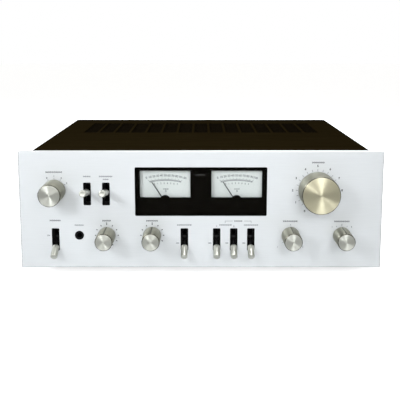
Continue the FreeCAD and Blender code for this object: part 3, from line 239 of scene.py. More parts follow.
# Front panel: one thick plate of aluminium, brushed along its length, etched fine and anodised
# clear. The anodising leaves a soft satin gloss with hardly any lines to see.
def refinish(material, *nodes):
    """Gives frame nodes a finished material in place of their plain one."""
    for node in nodes:
        for slot in frame["nodes"][node].material_slots:
            slot.material = material


def finished(name, bm, materials, body, replaces=(), place=None, smooth=None):
    """Makes a piece of a bmesh in millimetres, puts it in the frame and hands it to its body."""
    if smooth is not None:
        for face in bm.faces:
            face.smooth = True
        for edge in bm.edges:
            bend = edge.calc_face_angle(0)
            edge.smooth = len(edge.link_faces) == 2 and bend < math.radians(smooth)
    bm.transform(Matrix.Translation(place or at(0, 0, 0)) @ Matrix.Scale(0.001, 4))
    mesh = bpy.data.meshes.new(name)
    bm.to_mesh(mesh)
    bm.free()
    for material in materials:
        mesh.materials.append(material)
    piece = bpy.data.objects.new(name, mesh)
    bpy.context.scene.collection.objects.link(piece)
    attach(piece, body)
    if replaces:
        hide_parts(*replaces)
    return piece


# hairlines about 0.3 mm apart, drawn at 0.8 mm so that they show at all
panel_aluminium, tree, shader = new_material("anodised_aluminium_satin", "d9dbda", 0.45, 0.55)
grain(tree, shader, 1.2, ("d7d9d8", "dbdddc"), (0.52, 0.58), (0.02, 0.05), (0.03, 1, 1))
# painted shade: the cut edges inside the openings are coloured near black, so that a slot looks
# like a deep hole
slot_shade_black, tree, shader = new_material("painted_shade_black_in_openings", "0b0a09", 0, 0.6)
shader.inputs["Specular IOR Level"].default_value = 0.15
grain(tree, shader, 1.5, ("090807", "0e0d0b"), (0.5, 0.7), (0.1, 0.02))
# painted shade: the lower and side bevels get a dark aluminium colour, which draws a thin dark line
# round the panel
painted_shade_bevel, tree, shader = new_material("aluminium_bevel_with_painted_shade", "343635", 1.0, 0.35)
grain(tree, shader, 1.2, ("303231", "3a3c3b"), (0.3, 0.4), stretch=(0.03, 1, 1))

INNER_HALF = 205.0  # what lies nearer the middle than this belongs to an opening or the pocket
INNER_LOW = 16.0
INNER_HIGH = 146.0
POCKET_Y = 2.0
bm = bmesh.new()
bm.from_mesh(frame["nodes"]["front_panel"].data)
bm.transform(Matrix.Scale(1000, 4) @ Matrix.Translation(-at(0, 0, 0)))
bmesh.ops.remove_doubles(bm, verts=bm.verts, dist=1e-3)
bmesh.ops.recalc_face_normals(bm, faces=bm.faces)
for face in bm.faces:
    middle = face.calc_center_median()
    inside = abs(middle.x) < INNER_HALF and INNER_LOW < middle.z < INNER_HIGH
    wall = abs(face.normal.y) < 0.3
    pocket_floor = middle.y > POCKET_Y and face.normal.y < 0
    # the walls of the openings and the pocket's floor take the near black of painted shade
    if inside and (wall or pocket_floor):
        face.material_index = 1
    # bevels facing down and aside take the dark colour of painted shade
    elif -0.95 < face.normal.y < -0.3 and face.normal.z < 0.3:
        face.material_index = 2
finished(
    "front_panel_plate",
    bm,
    [panel_aluminium, slot_shade_black, painted_shade_bevel],
    "chassis",
    ["front_panel"],
    smooth=30,
)


# Printing on the panel: dark and mid grey screen ink, a few hundredths of a millimetre thick.
# Plain numbers, ON marks and rows of fine marks label the controls.
INK_T = 0.03
CAPITAL = 0.7  # a capital's height as a share of its font size
MARK_PITCH = 0.85
MARK_T = 0.5
LOW_MARK = 0.72  # height of a lower mark as a share of a full one
VOLUME = (134.4, 104.5)  # centres of the two upper knobs
SPEAKERS = (-169.2, 104.5)
BASS_X = -109.6
TREBLE_X = -56.7
BALANCE_X = 104.3
FUNCTION_X = 163.9
KNOB_ROW = 50.9
SPEAKER_STEPS = (-30, 0, 30, 60)
ON_Z = 41.4


def block(bm, x0, x1, y0, y1, z0, z1):
    """Adds a rectangular block."""
    size = Matrix.Diagonal((x1 - x0, y1 - y0, z1 - z0, 1))
    middle = Matrix.Translation(((x0 + x1) / 2, (y0 + y1) / 2, (z0 + z1) / 2))
    bmesh.ops.create_cube(bm, size=1, matrix=middle @ size)


def bar(bm, x, z, length, thick, lean=0.0, y=0.0):
    """A printed line round its middle, turned clockwise from upright by an angle in degrees."""
    place = Matrix.Translation((x, y, z)) @ Matrix.Rotation(math.radians(lean), 4, "Y")
    bmesh.ops.create_cube(bm, size=1, matrix=place @ Matrix.Diagonal((thick, 2 * INK_T, length, 1)))


def figures(bm, text, height, x, z, y=0.0, lean=0.0, bold=0.06, back=False):
    """Printed characters round a middle; those on the back are turned to be read from behind."""
    curve = bpy.data.curves.new("figures", "FONT")
    curve.body = text
    curve.size = height / CAPITAL
    curve.align_x = "CENTER"
    curve.align_y = "CENTER"
    curve.resolution_u = 3
    curve.offset = bold
    curve.extrude = INK_T
    holder = bpy.data.objects.new("figures", curve)
    mesh = bpy.data.meshes.new_from_object(holder)
    turn = Matrix.Rotation(math.radians(lean), 4, "Y") @ Matrix.Rotation(math.radians(90), 4, "X")
    if back:
        turn = Matrix.Rotation(math.pi, 4, "Z") @ turn
    mesh.transform(Matrix.Translation((x, y, z)) @ turn)
    others = set(bm.verts)
    bm.from_mesh(mesh)
    # the front, the back and the sides of a character come apart, so their seams are closed
    bmesh.ops.remove_doubles(bm, verts=[v for v in bm.verts if v not in others], dist=1e-4)
    bpy.data.objects.remove(holder)
    bpy.data.curves.remove(curve)
    bpy.data.meshes.remove(mesh)


def mark_row(bm, x, z, width, height, y=0.0):
    """A row of fine marks, every third one full height."""
    count = max(2, round(width / MARK_PITCH))
    for i in range(count):
        tall = height if i % 3 == 0 else LOW_MARK * height
        bar(bm, x - width / 2 + (i + 0.5) * width / count, z, tall, MARK_T, 0, y)


def round_point(centre, radius, angle):
    """The point on a circle at an angle in degrees, clockwise from the top."""
    a = math.radians(angle)
    return centre[0] + radius * math.sin(a), centre[1] + radius * math.cos(a)


def round_dial(bm, centre, radius, angles, length, thick):
    """Short printed lines round a knob."""
    for angle in angles:
        bar(bm, *round_point(centre, radius, angle), length, thick, angle)


# screen ink lies flat and dull, and its tone wavers over half a millimetre
panel_ink, tree, shader = new_material("screen_ink_dark_grey", "2b2e31", 0, 0.6)
shader.inputs["Specular IOR Level"].default_value = 0.2
grain(tree, shader, 2.0, ("272a2d", "303336"), (0.55, 0.7))
# a thinner coat for the smaller marks, which look paler
pale_ink, tree, shader = new_material("screen_ink_mid_grey", "565b5f", 0, 0.6)
shader.inputs["Specular IOR Level"].default_value = 0.2
grain(tree, shader, 2.0, ("505559", "5d6266"), (0.55, 0.7))

bm = bmesh.new()
for x, z, width, height in (
    (-169.3, 125.9, 19.0, 2.0),
    (-169.4, 68.6, 13.0, 2.0),
    (-109.6, 68.4, 10.0, 2.0),
    (-56.9, 68.3, 13.5, 2.0),
    (103.8, 67.8, 17.0, 2.0),
    (163.9, 67.6, 18.0, 2.0),
    (134.8, 137.1, 14.5, 2.0),
    (43.4, 68.0, 9.5, 1.8),
):
    mark_row(bm, x, z, width, height)
for i in range(11):
    figures(bm, str(i), 2.4, *round_point(VOLUME, 28.5, -150 + 30 * i), bold=0.12)
for i, angle in enumerate(SPEAKER_STEPS):
    figures(bm, str(i), 2.0, *round_point(SPEAKERS, 16.6, angle))
for x in (BASS_X, TREBLE_X):
    round_dial(bm, (x, KNOB_ROW), 13.2, [-150 + 30 * i for i in range(11)], 1.6, 1.0)
    figures(bm, "0", 1.6, x, 65.6)
figures(bm, "1", 1.9, 18.3, 61.8)
figures(bm, "2", 1.9, 38.2, 61.6)
finished("panel_printing_dark", bm, [panel_ink], "chassis")

bm = bmesh.new()
for x, z, width, height in (
    (-131.5, 120.8, 8.5, 1.8),
    (-109.7, 120.8, 15.5, 1.8),
    (-109.7, 117.4, 6.5, 1.5),
    (-141.6, 63.1, 10.5, 1.7),
    (-19.3, 63.3, 17.0, 1.7),
    (28.6, 63.3, 14.5, 1.7),
    (58.2, 63.2, 16.5, 1.7),
):
    mark_row(bm, x, z, width, height)
for x, z in ((-177.6, 50.7), (-27.3, ON_Z), (10.3, ON_Z), (30.1, ON_Z), (50.0, ON_Z)):
    figures(bm, "ON", 1.5, x, z)
for x0, x1 in ((28.2, 36.8), (50.0, 58.4)):
    bar(bm, (x0 + x1) / 2, 68.0, x1 - x0, 0.35, 90)
for x in (28.2, 58.4):
    bar(bm, x, 66.7, 2.6, 0.35)
round_dial(bm, VOLUME, 23.6, [-150 + 15 * i for i in range(21)], 2.4, 0.4)
round_dial(bm, SPEAKERS, 14.0, SPEAKER_STEPS, 1.6, 0.4)
for side, text in ((-1, "1"), (1, "2")):
    figures(bm, text, 1.7, BALANCE_X + side * 14.6, 36.8)
round_dial(bm, (BALANCE_X, KNOB_ROW), 12.6, (-135, 0, 135), 1.6, 0.4)
for x, z, text in ((152.6, 60.9, "1"), (163.9, 63.5, "2"), (175.2, 60.9, "3")):
    figures(bm, text, 1.8, x, z)
round_dial(bm, (FUNCTION_X, KNOB_ROW), 12.2, (-30, 0, 30), 1.4, 0.4)
finished("panel_printing_pale", bm, [pale_ink], "chassis")


# Window: a flat pane of clear acrylic, set in the panel from behind, over a surround that is
# painted matt black and has an opening for each meter.
SURROUND_Y = 5.0

# polished acrylic: hardly a reflection, and lamp light passes it without a shadow
pane_acrylic, tree, shader = new_material("cast_acrylic_clear", "ffffff", 0, 0.02)
shader.inputs["Transmission Weight"].default_value = 1.0
shader.inputs["IOR"].default_value = 1.08
grain(tree, shader, 0.05, rough=(0.01, 0.03))
clear = add_node(tree, "ShaderNodeBsdfTransparent", links={"Color": (0.96, 0.97, 0.97, 1)})
path = add_node(tree, "ShaderNodeLightPath")
soft = add_node(
    tree,
    "ShaderNodeMath",
    {"operation": "MAXIMUM"},
    {0: path.outputs["Is Shadow Ray"], 1: path.outputs["Is Diffuse Ray"]},
)
passing = add_node(
    tree,
    "ShaderNodeMixShader",
    links={0: soft.outputs[0], 1: shader.outputs[0], 2: clear.outputs[0]},
)
tree.links.new(passing.outputs[0], tree.nodes["Material Output"].inputs["Surface"])
refinish(pane_acrylic, "window_pane")

# sprayed matt paint: almost no gloss, with an orange peel of 0.7 mm
surround_paint, tree, shader = new_material("matt_black_paint_on_steel", "0a0703", 0, 0.7)
shader.inputs["Specular IOR Level"].default_value = 0.05
grain(tree, shader, 1.5, ("080502", "0c0904"), (0.6, 0.8), (0.1, 0.02))
refinish(surround_paint, "meter_mask")

# dim ink that only just shows on the black
window_ink, tree, shader = new_material("screen_ink_dim_grey", "3b3a36", 0, 0.6)
grain(tree, shader, 2.0, ("34332f", "42413d"), (0.55, 0.7))
bm = bmesh.new()
mark_row(bm, -0.9, 121.8, 11.0, 1.8, SURROUND_Y)
figures(bm, "1", 2.0, -42.2, 86.1, SURROUND_Y)
figures(bm, "2", 2.0, 42.2, 86.1, SURROUND_Y)
finished("window_printing", bm, [window_ink], "chassis")


# Level meters: a printed card behind each opening, a blade of a pointer that swings before it,
# and behind the card the magnet with its moving coil in a moulded case.
pivots = {joint["name"]: Vector(joint["pos_m"]) - at(0, 0, 0) for joint in frame["joints"]}
pivots = {name: 1000 * pivot for name, pivot in pivots.items()}
METER_X = pivots["right_needle_swing"].x
PIVOT_Z = pivots["right_needle_swing"].z
CARD_Y = 10.0
ARC_R = 81.0  # the printed arc is flatter than the needle's path
ARC_UP = -55.3  # its centre, from the needle's pivot
ARC_HALF = 13.1  # degrees to each side
ARC_PIECES = 36


def on_arc(x, share, rise):
    """A point over a meter's scale: share runs from -1 to 1 along the arc, rise is over the arc."""
    a = math.radians(ARC_HALF) * share
    radius = ARC_R + rise
    return x + radius * math.sin(a), PIVOT_Z + ARC_UP + radius * math.cos(a), math.degrees(a)


def arc_line(bm, x, rise, thick, y):
    """A thin printed arc over the whole scale."""
    for i in range(ARC_PIECES):
        px, pz, lean = on_arc(x, -1 + (i + 0.5) / (ARC_PIECES / 2), rise)
        bar(bm, px, pz, 1.12, thick, lean + 90, y)


# uncoated card: a dull cream white with fibres about a millimetre long
card_paper, tree, shader = new_material("printed_card_cream_white", "dfe2dc", 0, 0.75)
grain(tree, shader, 0.9, ("dcdfd9", "e3e6e0"), (0.7, 0.8), (0.05, 0.02))
refinish(card_paper, "left_meter_dial", "right_meter_dial")
# ink soaked in the card: a soft black
card_ink, tree, shader = new_material("printed_card_ink", "44484a", 0, 0.7)
grain(tree, shader, 2.0, ("3e4244", "4c5052"), (0.65, 0.75))
for side, x in (("left", -METER_X), ("right", METER_X)):
    bm = bmesh.new()
    arc_line(bm, x, 0.0, 0.4, CARD_Y)
    arc_line(bm, x, 1.0, 0.3, CARD_Y)
    for i in range(31):
        rise, length = (1.5, 3.0) if i % 3 == 0 else (1.0, 1.8)
        px, pz, _ = on_arc(x, -1 + i / 15, rise)
        lean = math.degrees(math.atan2(px - x, pz - PIVOT_Z))
        bar(bm, px, pz, length, 0.28, lean, CARD_Y)
    for i in range(11):
        px, pz, lean = on_arc(x, (-1 + i / 5) * 1.12, 6.0)
        figures(bm, str(10 * i), 2.5, px, pz, CARD_Y, lean, 0.02)
    for i in range(8):
        px, pz, lean = on_arc(x, -0.72 + i * 0.215, -3.2)
        figures(bm, str(i), 1.7, px, pz, CARD_Y, lean)
    mark_row(bm, x + 0.6, PIVOT_Z + 15.6, 6.4, 1.2, CARD_Y)
    figures(bm, "%", 1.7, x + 0.6, PIVOT_Z + 13.1, CARD_Y)
    finished(side + "_meter_scale", bm, [card_ink], "chassis")

# a thin sprayed coat, a little glossy
pointer_paint, tree, shader = new_material("pointer_black_paint", "17181a", 0, 0.45)
grain(tree, shader, 2.0, ("131416", "1c1d1f"), (0.4, 0.5))
refinish(pointer_paint, "left_meter_needle", "right_meter_needle")
# moulded against fine sparked steel: its sheen breaks up over 0.8 mm
case_plastic, tree, shader = new_material("moulded_polystyrene_black", "151515", 0, 0.4)
grain(tree, shader, 1.2, ("121212", "191919"), (0.35, 0.5), (0.1, 0.02))
refinish(case_plastic, "left_meter_case", "right_meter_case")


# Knobs: turned from aluminium bar. The end is spun with a fine tool, so its light gathers in two
# opposite wedges; a narrow rim and a groove part it from the polished side, which has a dark mark.
def spun(outline, steps, bevel=0.0):
    """An outline of (radius, y) turned round the y axis, with its sharp corners softened."""
    bm = bmesh.new()
    verts = [bm.verts.new((r, y, 0)) for r, y in outline]
    edges = [bm.edges.new(pair) for pair in zip(verts, verts[1:])]
    bmesh.ops.spin(
        bm,
        geom=verts + edges,
        cent=(0, 0, 0),
        axis=(0, 1, 0),
        angle=2 * math.pi,
        steps=steps,
        use_merge=True,
    )
    bmesh.ops.remove_doubles(bm, verts=bm.verts, dist=1e-4)
    bmesh.ops.recalc_face_normals(bm, faces=bm.faces)
    if bevel:
        corners = [e for e in bm.edges if len(e.link_faces) == 2 and e.calc_face_angle(0) > 0.6]
        bmesh.ops.bevel(
            bm,
            geom=corners,
            offset=bevel,
            segments=2,
            profile=0.5,
            affect="EDGES",
            material=-1,
            clamp_overlap=True,
        )
    return bm


def cut(bm, faces, point, normal):
    """Divides some faces along a plane."""
    geom = {item for f in faces for item in (f, *f.edges, *f.verts)}
    bmesh.ops.bisect_plane(bm, geom=list(geom), plane_co=point, plane_no=normal, dist=1e-4)


def pushed_in(bm, faces, way):
    """Sinks some faces by a vector, with walls round them; gives the sunk faces and the walls."""
    sunk = bmesh.ops.extrude_face_region(bm, geom=faces)["geom"]
    bmesh.ops.delete(bm, geom=faces, context="FACES")
    sunk = [v for v in sunk if isinstance(v, bmesh.types.BMVert)]
    bmesh.ops.translate(bm, verts=sunk, vec=way)
    return {f for v in sunk for f in v.link_faces}


def lathe_lines(tree, shader, strength):
    """Stretches highlights across the fine rings that a tool leaves round the y axis."""
    shader.inputs["Anisotropic"].default_value = strength
    shader.inputs["Anisotropic Rotation"].default_value = 0.25
    turn = add_node(tree, "ShaderNodeTangent", {"direction_type": "RADIAL", "axis": "Y"})
    tree.links.new(turn.outputs[0], shader.inputs["Tangent"])


KNOB_FRONT = -28.0
KNOB_REAR = -1.0
KNOB_TAPER = 0.3  # how much wider the rear is
RIM = 0.7
GROOVE_FRONT = -26.7
GROOVE_REAR = -26.0
GROOVE_DEEP = 0.6
REAR_BEVEL = 0.5
SKIRT_T = 2.2
SKIRT_DEEP = 9.0
BOSS_R = 5.2
BORE_R = 3.05
BORE_DEEP = 21.0
MARK_HALF = 0.45
MARK_DEEP = 0.7


def knob(name, radius, mark, steps, end_metal):
    """A knob with its skirt, boss and bore; its mark is turned clockwise by an angle in degrees."""
    rear = radius + KNOB_TAPER
    axis = pivots[name + "_turn"]
    bm = spun(
        [
            (0, KNOB_FRONT),
            (radius - RIM, KNOB_FRONT),
            (radius, KNOB_FRONT + RIM),
            (radius, GROOVE_FRONT),
            (radius - GROOVE_DEEP, GROOVE_FRONT),
            (radius - GROOVE_DEEP, GROOVE_REAR),
            (radius, GROOVE_REAR),
            (rear, KNOB_REAR - REAR_BEVEL),
            (rear - REAR_BEVEL, KNOB_REAR),
            (radius - SKIRT_T, KNOB_REAR),
            (radius - SKIRT_T, KNOB_REAR - SKIRT_DEEP),
            (BOSS_R, KNOB_REAR - SKIRT_DEEP),
            (BOSS_R, KNOB_REAR),
            (BORE_R, KNOB_REAR),
            (BORE_R, KNOB_REAR - BORE_DEEP),
            (0, KNOB_REAR - BORE_DEEP),
        ],
        steps,
        0.12,
    )

    def on_side(face, half):
        """Whether a face lies on the upper side, within a half width of the middle."""
        middle = face.calc_center_median()
        outside = math.hypot(middle.x, middle.z) > radius - KNOB_TAPER
        along = GROOVE_REAR + 0.1 < middle.y < KNOB_REAR - REAR_BEVEL - 0.1
        return outside and middle.z > 0 and along and abs(middle.x) < half

    for x in (-MARK_HALF, MARK_HALF):
        cut(bm, [f for f in bm.faces if on_side(f, 3)], (x, 0, 0), (1, 0, 0))
    strip = [f for f in bm.faces if on_side(f, MARK_HALF)]
    sunk = pushed_in(bm, strip, (0, 0, -MARK_DEEP))
    for face in bm.faces:
        middle = face.calc_center_median()
        # the groove ring takes the mark's near black as painted shade
        groove_shade_ring = GROOVE_FRONT - 0.01 < middle.y < GROOVE_REAR + 0.01
        # the bevel round the end takes a painted dark reflection
        bevel = abs(face.normal.y + math.sqrt(0.5)) < 0.15 and middle.y < GROOVE_FRONT
        if face in sunk or groove_shade_ring:
            face.material_index = 2
        elif bevel:
            face.material_index = 3
        elif middle.y < KNOB_FRONT + 0.01 and face.normal.y < -0.99:
            face.material_index = 0
        else:
            face.material_index = 1
    turn = Matrix.Rotation(math.radians(mark), 3, "Y")
    bmesh.ops.rotate(bm, verts=bm.verts, cent=(0, 0, 0), matrix=turn)
    finished(
        name + "_knob_turned",
        bm,
        [end_metal, side_polish, mark_paint_and_groove_shade, bevel_painted_reflection],
        name + "_dial_body",
        [name + "_knob"],
        at(axis.x, 0, axis.z),
        30,
    )


def spun_face(name, colour, rough):
    """Bare aluminium off a facing tool, whose gloss also varies a little over 2.5 mm."""
    material, tree, shader = new_material(name, colour, 1.0, rough)
    grain(tree, shader, 0.4, rough=(rough - 0.03, rough + 0.03))
    lathe_lines(tree, shader, 0.98)
    return material


# the fine rings on the ends gather the light in two wedges, golden on the large knob
volume_face = spun_face("spun_aluminium_champagne", "ccc6a9", 0.45)
small_face = spun_face("spun_aluminium_pale", "d0d0c5", 0.55)
# turned and polished: highlights run along the side, over faint streaks 0.7 mm apart
side_polish, tree, shader = new_material("turned_aluminium_side", "8f8e80", 1.0, 0.38)
grain(tree, shader, 1.5, ("8b8a7c", "939284"), (0.35, 0.41), stretch=(1, 0.1, 1))
lathe_lines(tree, shader, 0.9)
# painted reflection: the narrow bevel is coloured dark, standing for the dark it mirrors, and rings
# the end
bevel_painted_reflection, tree, shader = new_material("aluminium_bevel_painted_dark_reflection", "4e4c42", 1.0, 0.2)
grain(tree, shader, 1.5, ("4a483e", "525046"), (0.16, 0.24))
# paint wiped in the mark, half dull; the groove gets the same near black as painted shade
mark_paint_and_groove_shade, tree, shader = new_material("mark_filled_black_and_groove_shade", "1d1e1e", 0, 0.5)
grain(tree, shader, 2.0, ("191a1a", "222323"), (0.45, 0.6))

knob("volume", 21.6, -150, 144, volume_face)
knob("speakers", 12.75, -30, 112, small_face)
knob("bass", 10.0, 0, 96, small_face)
knob("treble", 10.2, 0, 96, small_face)
knob("balance", 10.2, 0, 96, small_face)
knob("function", 10.0, 0, 96, small_face)

# drawn bar: faint lines along its length
shaft_metal, tree, shader = new_material("drawn_aluminium_shaft", "c2c4c4", 1.0, 0.3)
grain(tree, shader, 1.5, ("bcbebe", "c9cbcb"), (0.25, 0.36), stretch=(1, 0.1, 1))
refinish(shaft_metal, *[n for n in frame["nodes"] if n.endswith("_shaft")])


# Lever switches: a round cap of chromed brass, hollowed a little at its end, pressed on a flat
# steel arm that swings on a pin behind the panel.
LEVER_R = 3.9
CAP_START = 15.0  # from the pivot
CAP_BEVEL = 0.5
ARM_TAIL = 10.0
HUB_R = 3.6
HUB_W = 5.2


def lever(name, reach, down):
    """A lever drawn level with its pivot at the origin, then swung down by an angle in degrees."""
    pivot = pivots[name + "_lever_tilt"]
    swing = Matrix.Rotation(math.radians(down), 3, "X")
    cap = spun(
        [
            (0, 0.35 - reach),
            (1.5, 0.26 - reach),
            (2.8, -reach),
            (LEVER_R - CAP_BEVEL, -reach),
            (LEVER_R, CAP_BEVEL - reach),
            (LEVER_R, -CAP_START - CAP_BEVEL),
            (LEVER_R - CAP_BEVEL, -CAP_START),
            (0, -CAP_START),
        ],
        48,
        0.12,
    )
    bmesh.ops.rotate(cap, verts=cap.verts, cent=(0, 0, 0), matrix=swing)
    finished(
        name + "_lever_cap",
        cap,
        [lever_chrome],
        name + "_lever_body",
        [name + "_lever"],
        at(*pivot),
        30,
    )
    arm = bmesh.new()
    # a strip 2 mm thick, deeper between the cap and the hub than in the tail behind it
    block(arm, -1, 1, -CAP_START, ARM_TAIL, -1.2, 1.2)
    block(arm, -0.98, 0.98, -CAP_START, -3, -2.2, 2.2)
    hub = bmesh.ops.create_cone(
        arm,
        cap_ends=True,
        segments=40,
        radius1=HUB_R,
        radius2=HUB_R,
        depth=HUB_W,
        matrix=Matrix.Rotation(math.radians(90), 4, "Y"),
    )
    rims = {e for v in hub["verts"] for e in v.link_edges if e.calc_face_angle(0) > 1}
    bmesh.ops.bevel(
        arm, geom=list(rims), offset=0.3, segments=2, profile=0.5, affect="EDGES", material=-1
    )
    bmesh.ops.rotate(arm, verts=arm.verts, cent=(0, 0, 0), matrix=swing)
    finished(
        name + "_lever_arm",
        arm,
        [arm_steel_painted_shade],
        name + "_lever_body",
        place=at(*pivot),
        smooth=30,
    )


# satin chrome over brass: bright, with soft edges to its highlights
lever_chrome, tree, shader = new_material("chromed_brass", "b4b4aa", 1.0, 0.31)
grain(tree, shader, 1.0, rough=(0.29, 0.33))
# blackened steel, coloured near black as painted shade so that it is lost in the dark of the slot
arm_steel_painted_shade, tree, shader = new_material("blackened_lever_steel_painted_shade", "0f0f0f", 0.6, 0.5)
grain(tree, shader, 0.8, ("0c0c0c", "141414"), (0.42, 0.58))
# each row has its own reach from the pivot, and its own tilt below level
for name in ("power", "loudness", "tape_1", "tape_2", "tape_copy"):
    lever(name, 30.8, 33.5)
for name in ("tone", "filter"):
    lever(name, 43.0, -10.0)


# Headphone socket: a black moulded nose in the panel with a sprung contact barrel inside. It is
# held by the nut behind the sub-panel, so only the ring of its mouth shows.
# phenolic moulding: black with a broken, dull gloss
socket_plastic, tree, shader = new_material("moulded_phenolic_black", "090909", 0, 0.4)
shader.inputs["Specular IOR Level"].default_value = 0.15
grain(tree, shader, 1.0, ("070707", "0c0c0c"), (0.3, 0.45), (0.1, 0.02))
refinish(socket_plastic, "headphone_jack")


# Top cover: a bonnet folded from steel sheet and finished in dark walnut brown, with fifteen air
# slots over the heat sink and a lip turned down over the rear panel.
# printed vinyl film: dull, with wood-like streaks about 2 mm apart that run across the case
cover_finish, tree, shader = new_material("walnut_brown_vinyl_on_steel", "221c0d", 0, 0.8)
shader.inputs["Specular IOR Level"].default_value = 0.0
grain(tree, shader, 0.5, ("1d1609", "272010"), (0.7, 0.85), (0.1, 0.03), (0.04, 1, 1), 5.0)
SHEET_T = 1.2
DEBURR = 0.2
COVER_HALF = 197.0
COVER_FRONT = 7.2
COVER_REAR = 294.0
COVER_FOOT = 12.0
COVER_TOP = 149.5
BEND_R = 2.4
LIP_HALF = 193.0
LIP_H = 14.0
LIP_BEND_R = 1.6
NOTCH = 4.0
VENT_FRONT = 152.2
VENT_REAR = 252.2
VENT_HALF = 9.25
VENT_PITCH = 21.8
TOUCH = 1e-3  # how near to a plane counts as on it

bm = bmesh.new()
profile = [
    (-COVER_HALF, COVER_FOOT),
    (-COVER_HALF, COVER_TOP),
    (COVER_HALF, COVER_TOP),
    (COVER_HALF, COVER_FOOT),
]
verts = [bm.verts.new((x, COVER_FRONT, z)) for x, z in profile]
edges = [bm.edges.new(pair) for pair in zip(verts, verts[1:])]
drawn = bmesh.ops.extrude_edge_only(bm, edges=edges)["geom"]
drawn = [v for v in drawn if isinstance(v, bmesh.types.BMVert)]
bmesh.ops.translate(bm, verts=drawn, vec=(0, COVER_REAR - COVER_FRONT, 0))
folds = [e for e in bm.edges if len(e.link_faces) == 2]
bmesh.ops.bevel(
    bm, geom=folds, offset=BEND_R, segments=6, profile=0.5, affect="EDGES", material=-1
)

cut(bm, bm.faces, (0, COVER_REAR - NOTCH, 0), (0, 1, 0))
for x in (-LIP_HALF, LIP_HALF):
    cut(bm, bm.faces, (x, 0, 0), (1, 0, 0))
corners = []
for face in bm.faces:
    middle = face.calc_center_median()
    beyond = abs(middle.x) > LIP_HALF and middle.y > COVER_REAR - NOTCH
    if beyond and middle.z > COVER_TOP - BEND_R:
        corners.append(face)
bmesh.ops.delete(bm, geom=corners, context="FACES")


def roof(bm):
    """The faces of the bonnet's flat top."""
    return [f for f in bm.faces if f.calc_center_median().z > COVER_TOP - TOUCH]


for y in (VENT_FRONT, VENT_REAR):
    cut(bm, roof(bm), (0, y, 0), (0, 1, 0))
vents = [VENT_PITCH * i for i in range(-7, 8)]
for x in vents:
    for edge in (x - VENT_HALF, x + VENT_HALF):
        cut(bm, roof(bm), (edge, 0, 0), (1, 0, 0))
slots = []
for face in roof(bm):
    middle = face.calc_center_median()
    across = any(abs(middle.x - x) < VENT_HALF for x in vents)
    if across and VENT_FRONT < middle.y < VENT_REAR:
        slots.append(face)
bmesh.ops.delete(bm, geom=slots, context="FACES")

rear = [
    e
    for e in bm.edges
    if all(v.co.y > COVER_REAR - TOUCH and v.co.z > COVER_TOP - TOUCH for v in e.verts)
]
lip = bmesh.ops.extrude_edge_only(bm, edges=rear)["geom"]
lip = [v for v in lip if isinstance(v, bmesh.types.BMVert)]
bmesh.ops.translate(bm, verts=lip, vec=(0, 0, -LIP_H))
fold = [e for e in rear if e.is_valid and len(e.link_faces) == 2]
bmesh.ops.bevel(
    bm, geom=fold, offset=LIP_BEND_R, segments=4, profile=0.5, affect="EDGES", material=-1
)
bmesh.ops.recalc_face_normals(bm, faces=bm.faces)
highest = max(bm.faces, key=lambda f: f.calc_center_median().z)
if highest.normal.z < 0:
    bmesh.ops.reverse_faces(bm, faces=bm.faces)
cover = finished(
    "top_cover_bonnet", bm, [cover_finish], "chassis", ["top_cover"], smooth=30
)
sheet = cover.modifiers.new("sheet", "SOLIDIFY")
sheet.thickness = SHEET_T / 1000
sheet.offset = -1
soft_edges = cover.modifiers.new("deburred", "BEVEL")
soft_edges.width = DEBURR / 1000
soft_edges.segments = 2
soft_edges.limit_method = "ANGLE"
soft_edges.angle_limit = math.radians(50)
soft_edges.use_clamp_overlap = False
# thin matt paint, so dark that the slots over it look open
screen_paint, tree, shader = new_material("matt_black_paint", "15110a", 0, 0.8)
shader.inputs["Specular IOR Level"].default_value = 0.0
grain(tree, shader, 1.0, ("120e08", "19140c"), (0.75, 0.85), (0.1, 0.02))
refinish(screen_paint, "vent_screen")


# Chassis: pan, sub-panel and rear panel of steel sheet. The pan is zinc plated, the sub-panel
# behind the aluminium is near black as painted shade, and the rear panel is painted satin black.
# zinc: a soft grey gloss with clouds 4 mm across
plated_sheet, tree, shader = new_material("zinc_plated_sheet", "a9aaa4", 1.0, 0.38)
grain(tree, shader, 0.25, ("a0a19b", "b3b4ae"), (0.3, 0.46), (0.05, 0.02))
refinish(plated_sheet, "chassis_pan")
# painted shade: the sub-panel seen through the slots is coloured near black
refinish(slot_shade_black, "front_subpanel")
# stoved satin paint with an orange peel of 0.8 mm
rear_paint, tree, shader = new_material("satin_black_paint_on_steel", "1b1b1a", 0, 0.5)
shader.inputs["Specular IOR Level"].default_value = 0.3
grain(tree, shader, 1.2, ("181817", "1f1f1e"), (0.45, 0.6), (0.1, 0.02))
refinish(rear_paint, "rear_panel")


# Feet: four moulded rubber discs that widen upwards, with two rings sunk in the sole and a well
# for the screw that holds each to the pan.
def repeated(template, places):
    """One bmesh with a copy of a template at each place; a place is a matrix."""
    mesh = bpy.data.meshes.new("template")
    template.to_mesh(mesh)
    template.free()
    bm = bmesh.new()
    for place in places:
        before = len(bm.verts)
        bm.from_mesh(mesh)
        bm.verts.ensure_lookup_table()
        bmesh.ops.transform(bm, matrix=place, verts=bm.verts[before:])
    bpy.data.meshes.remove(mesh)
    return bm


def facing(place, out):
    """The place of a template that was drawn facing +y and is to face another way."""
    turn = Vector((0, 1, 0)).rotation_difference(Vector(out)).to_matrix().to_4x4()
    return Matrix.Translation(place) @ turn


FEET = [(x, y) for x in (-150, 150) for y in (65, 250.8)]
FOOT_WELL = 5.0
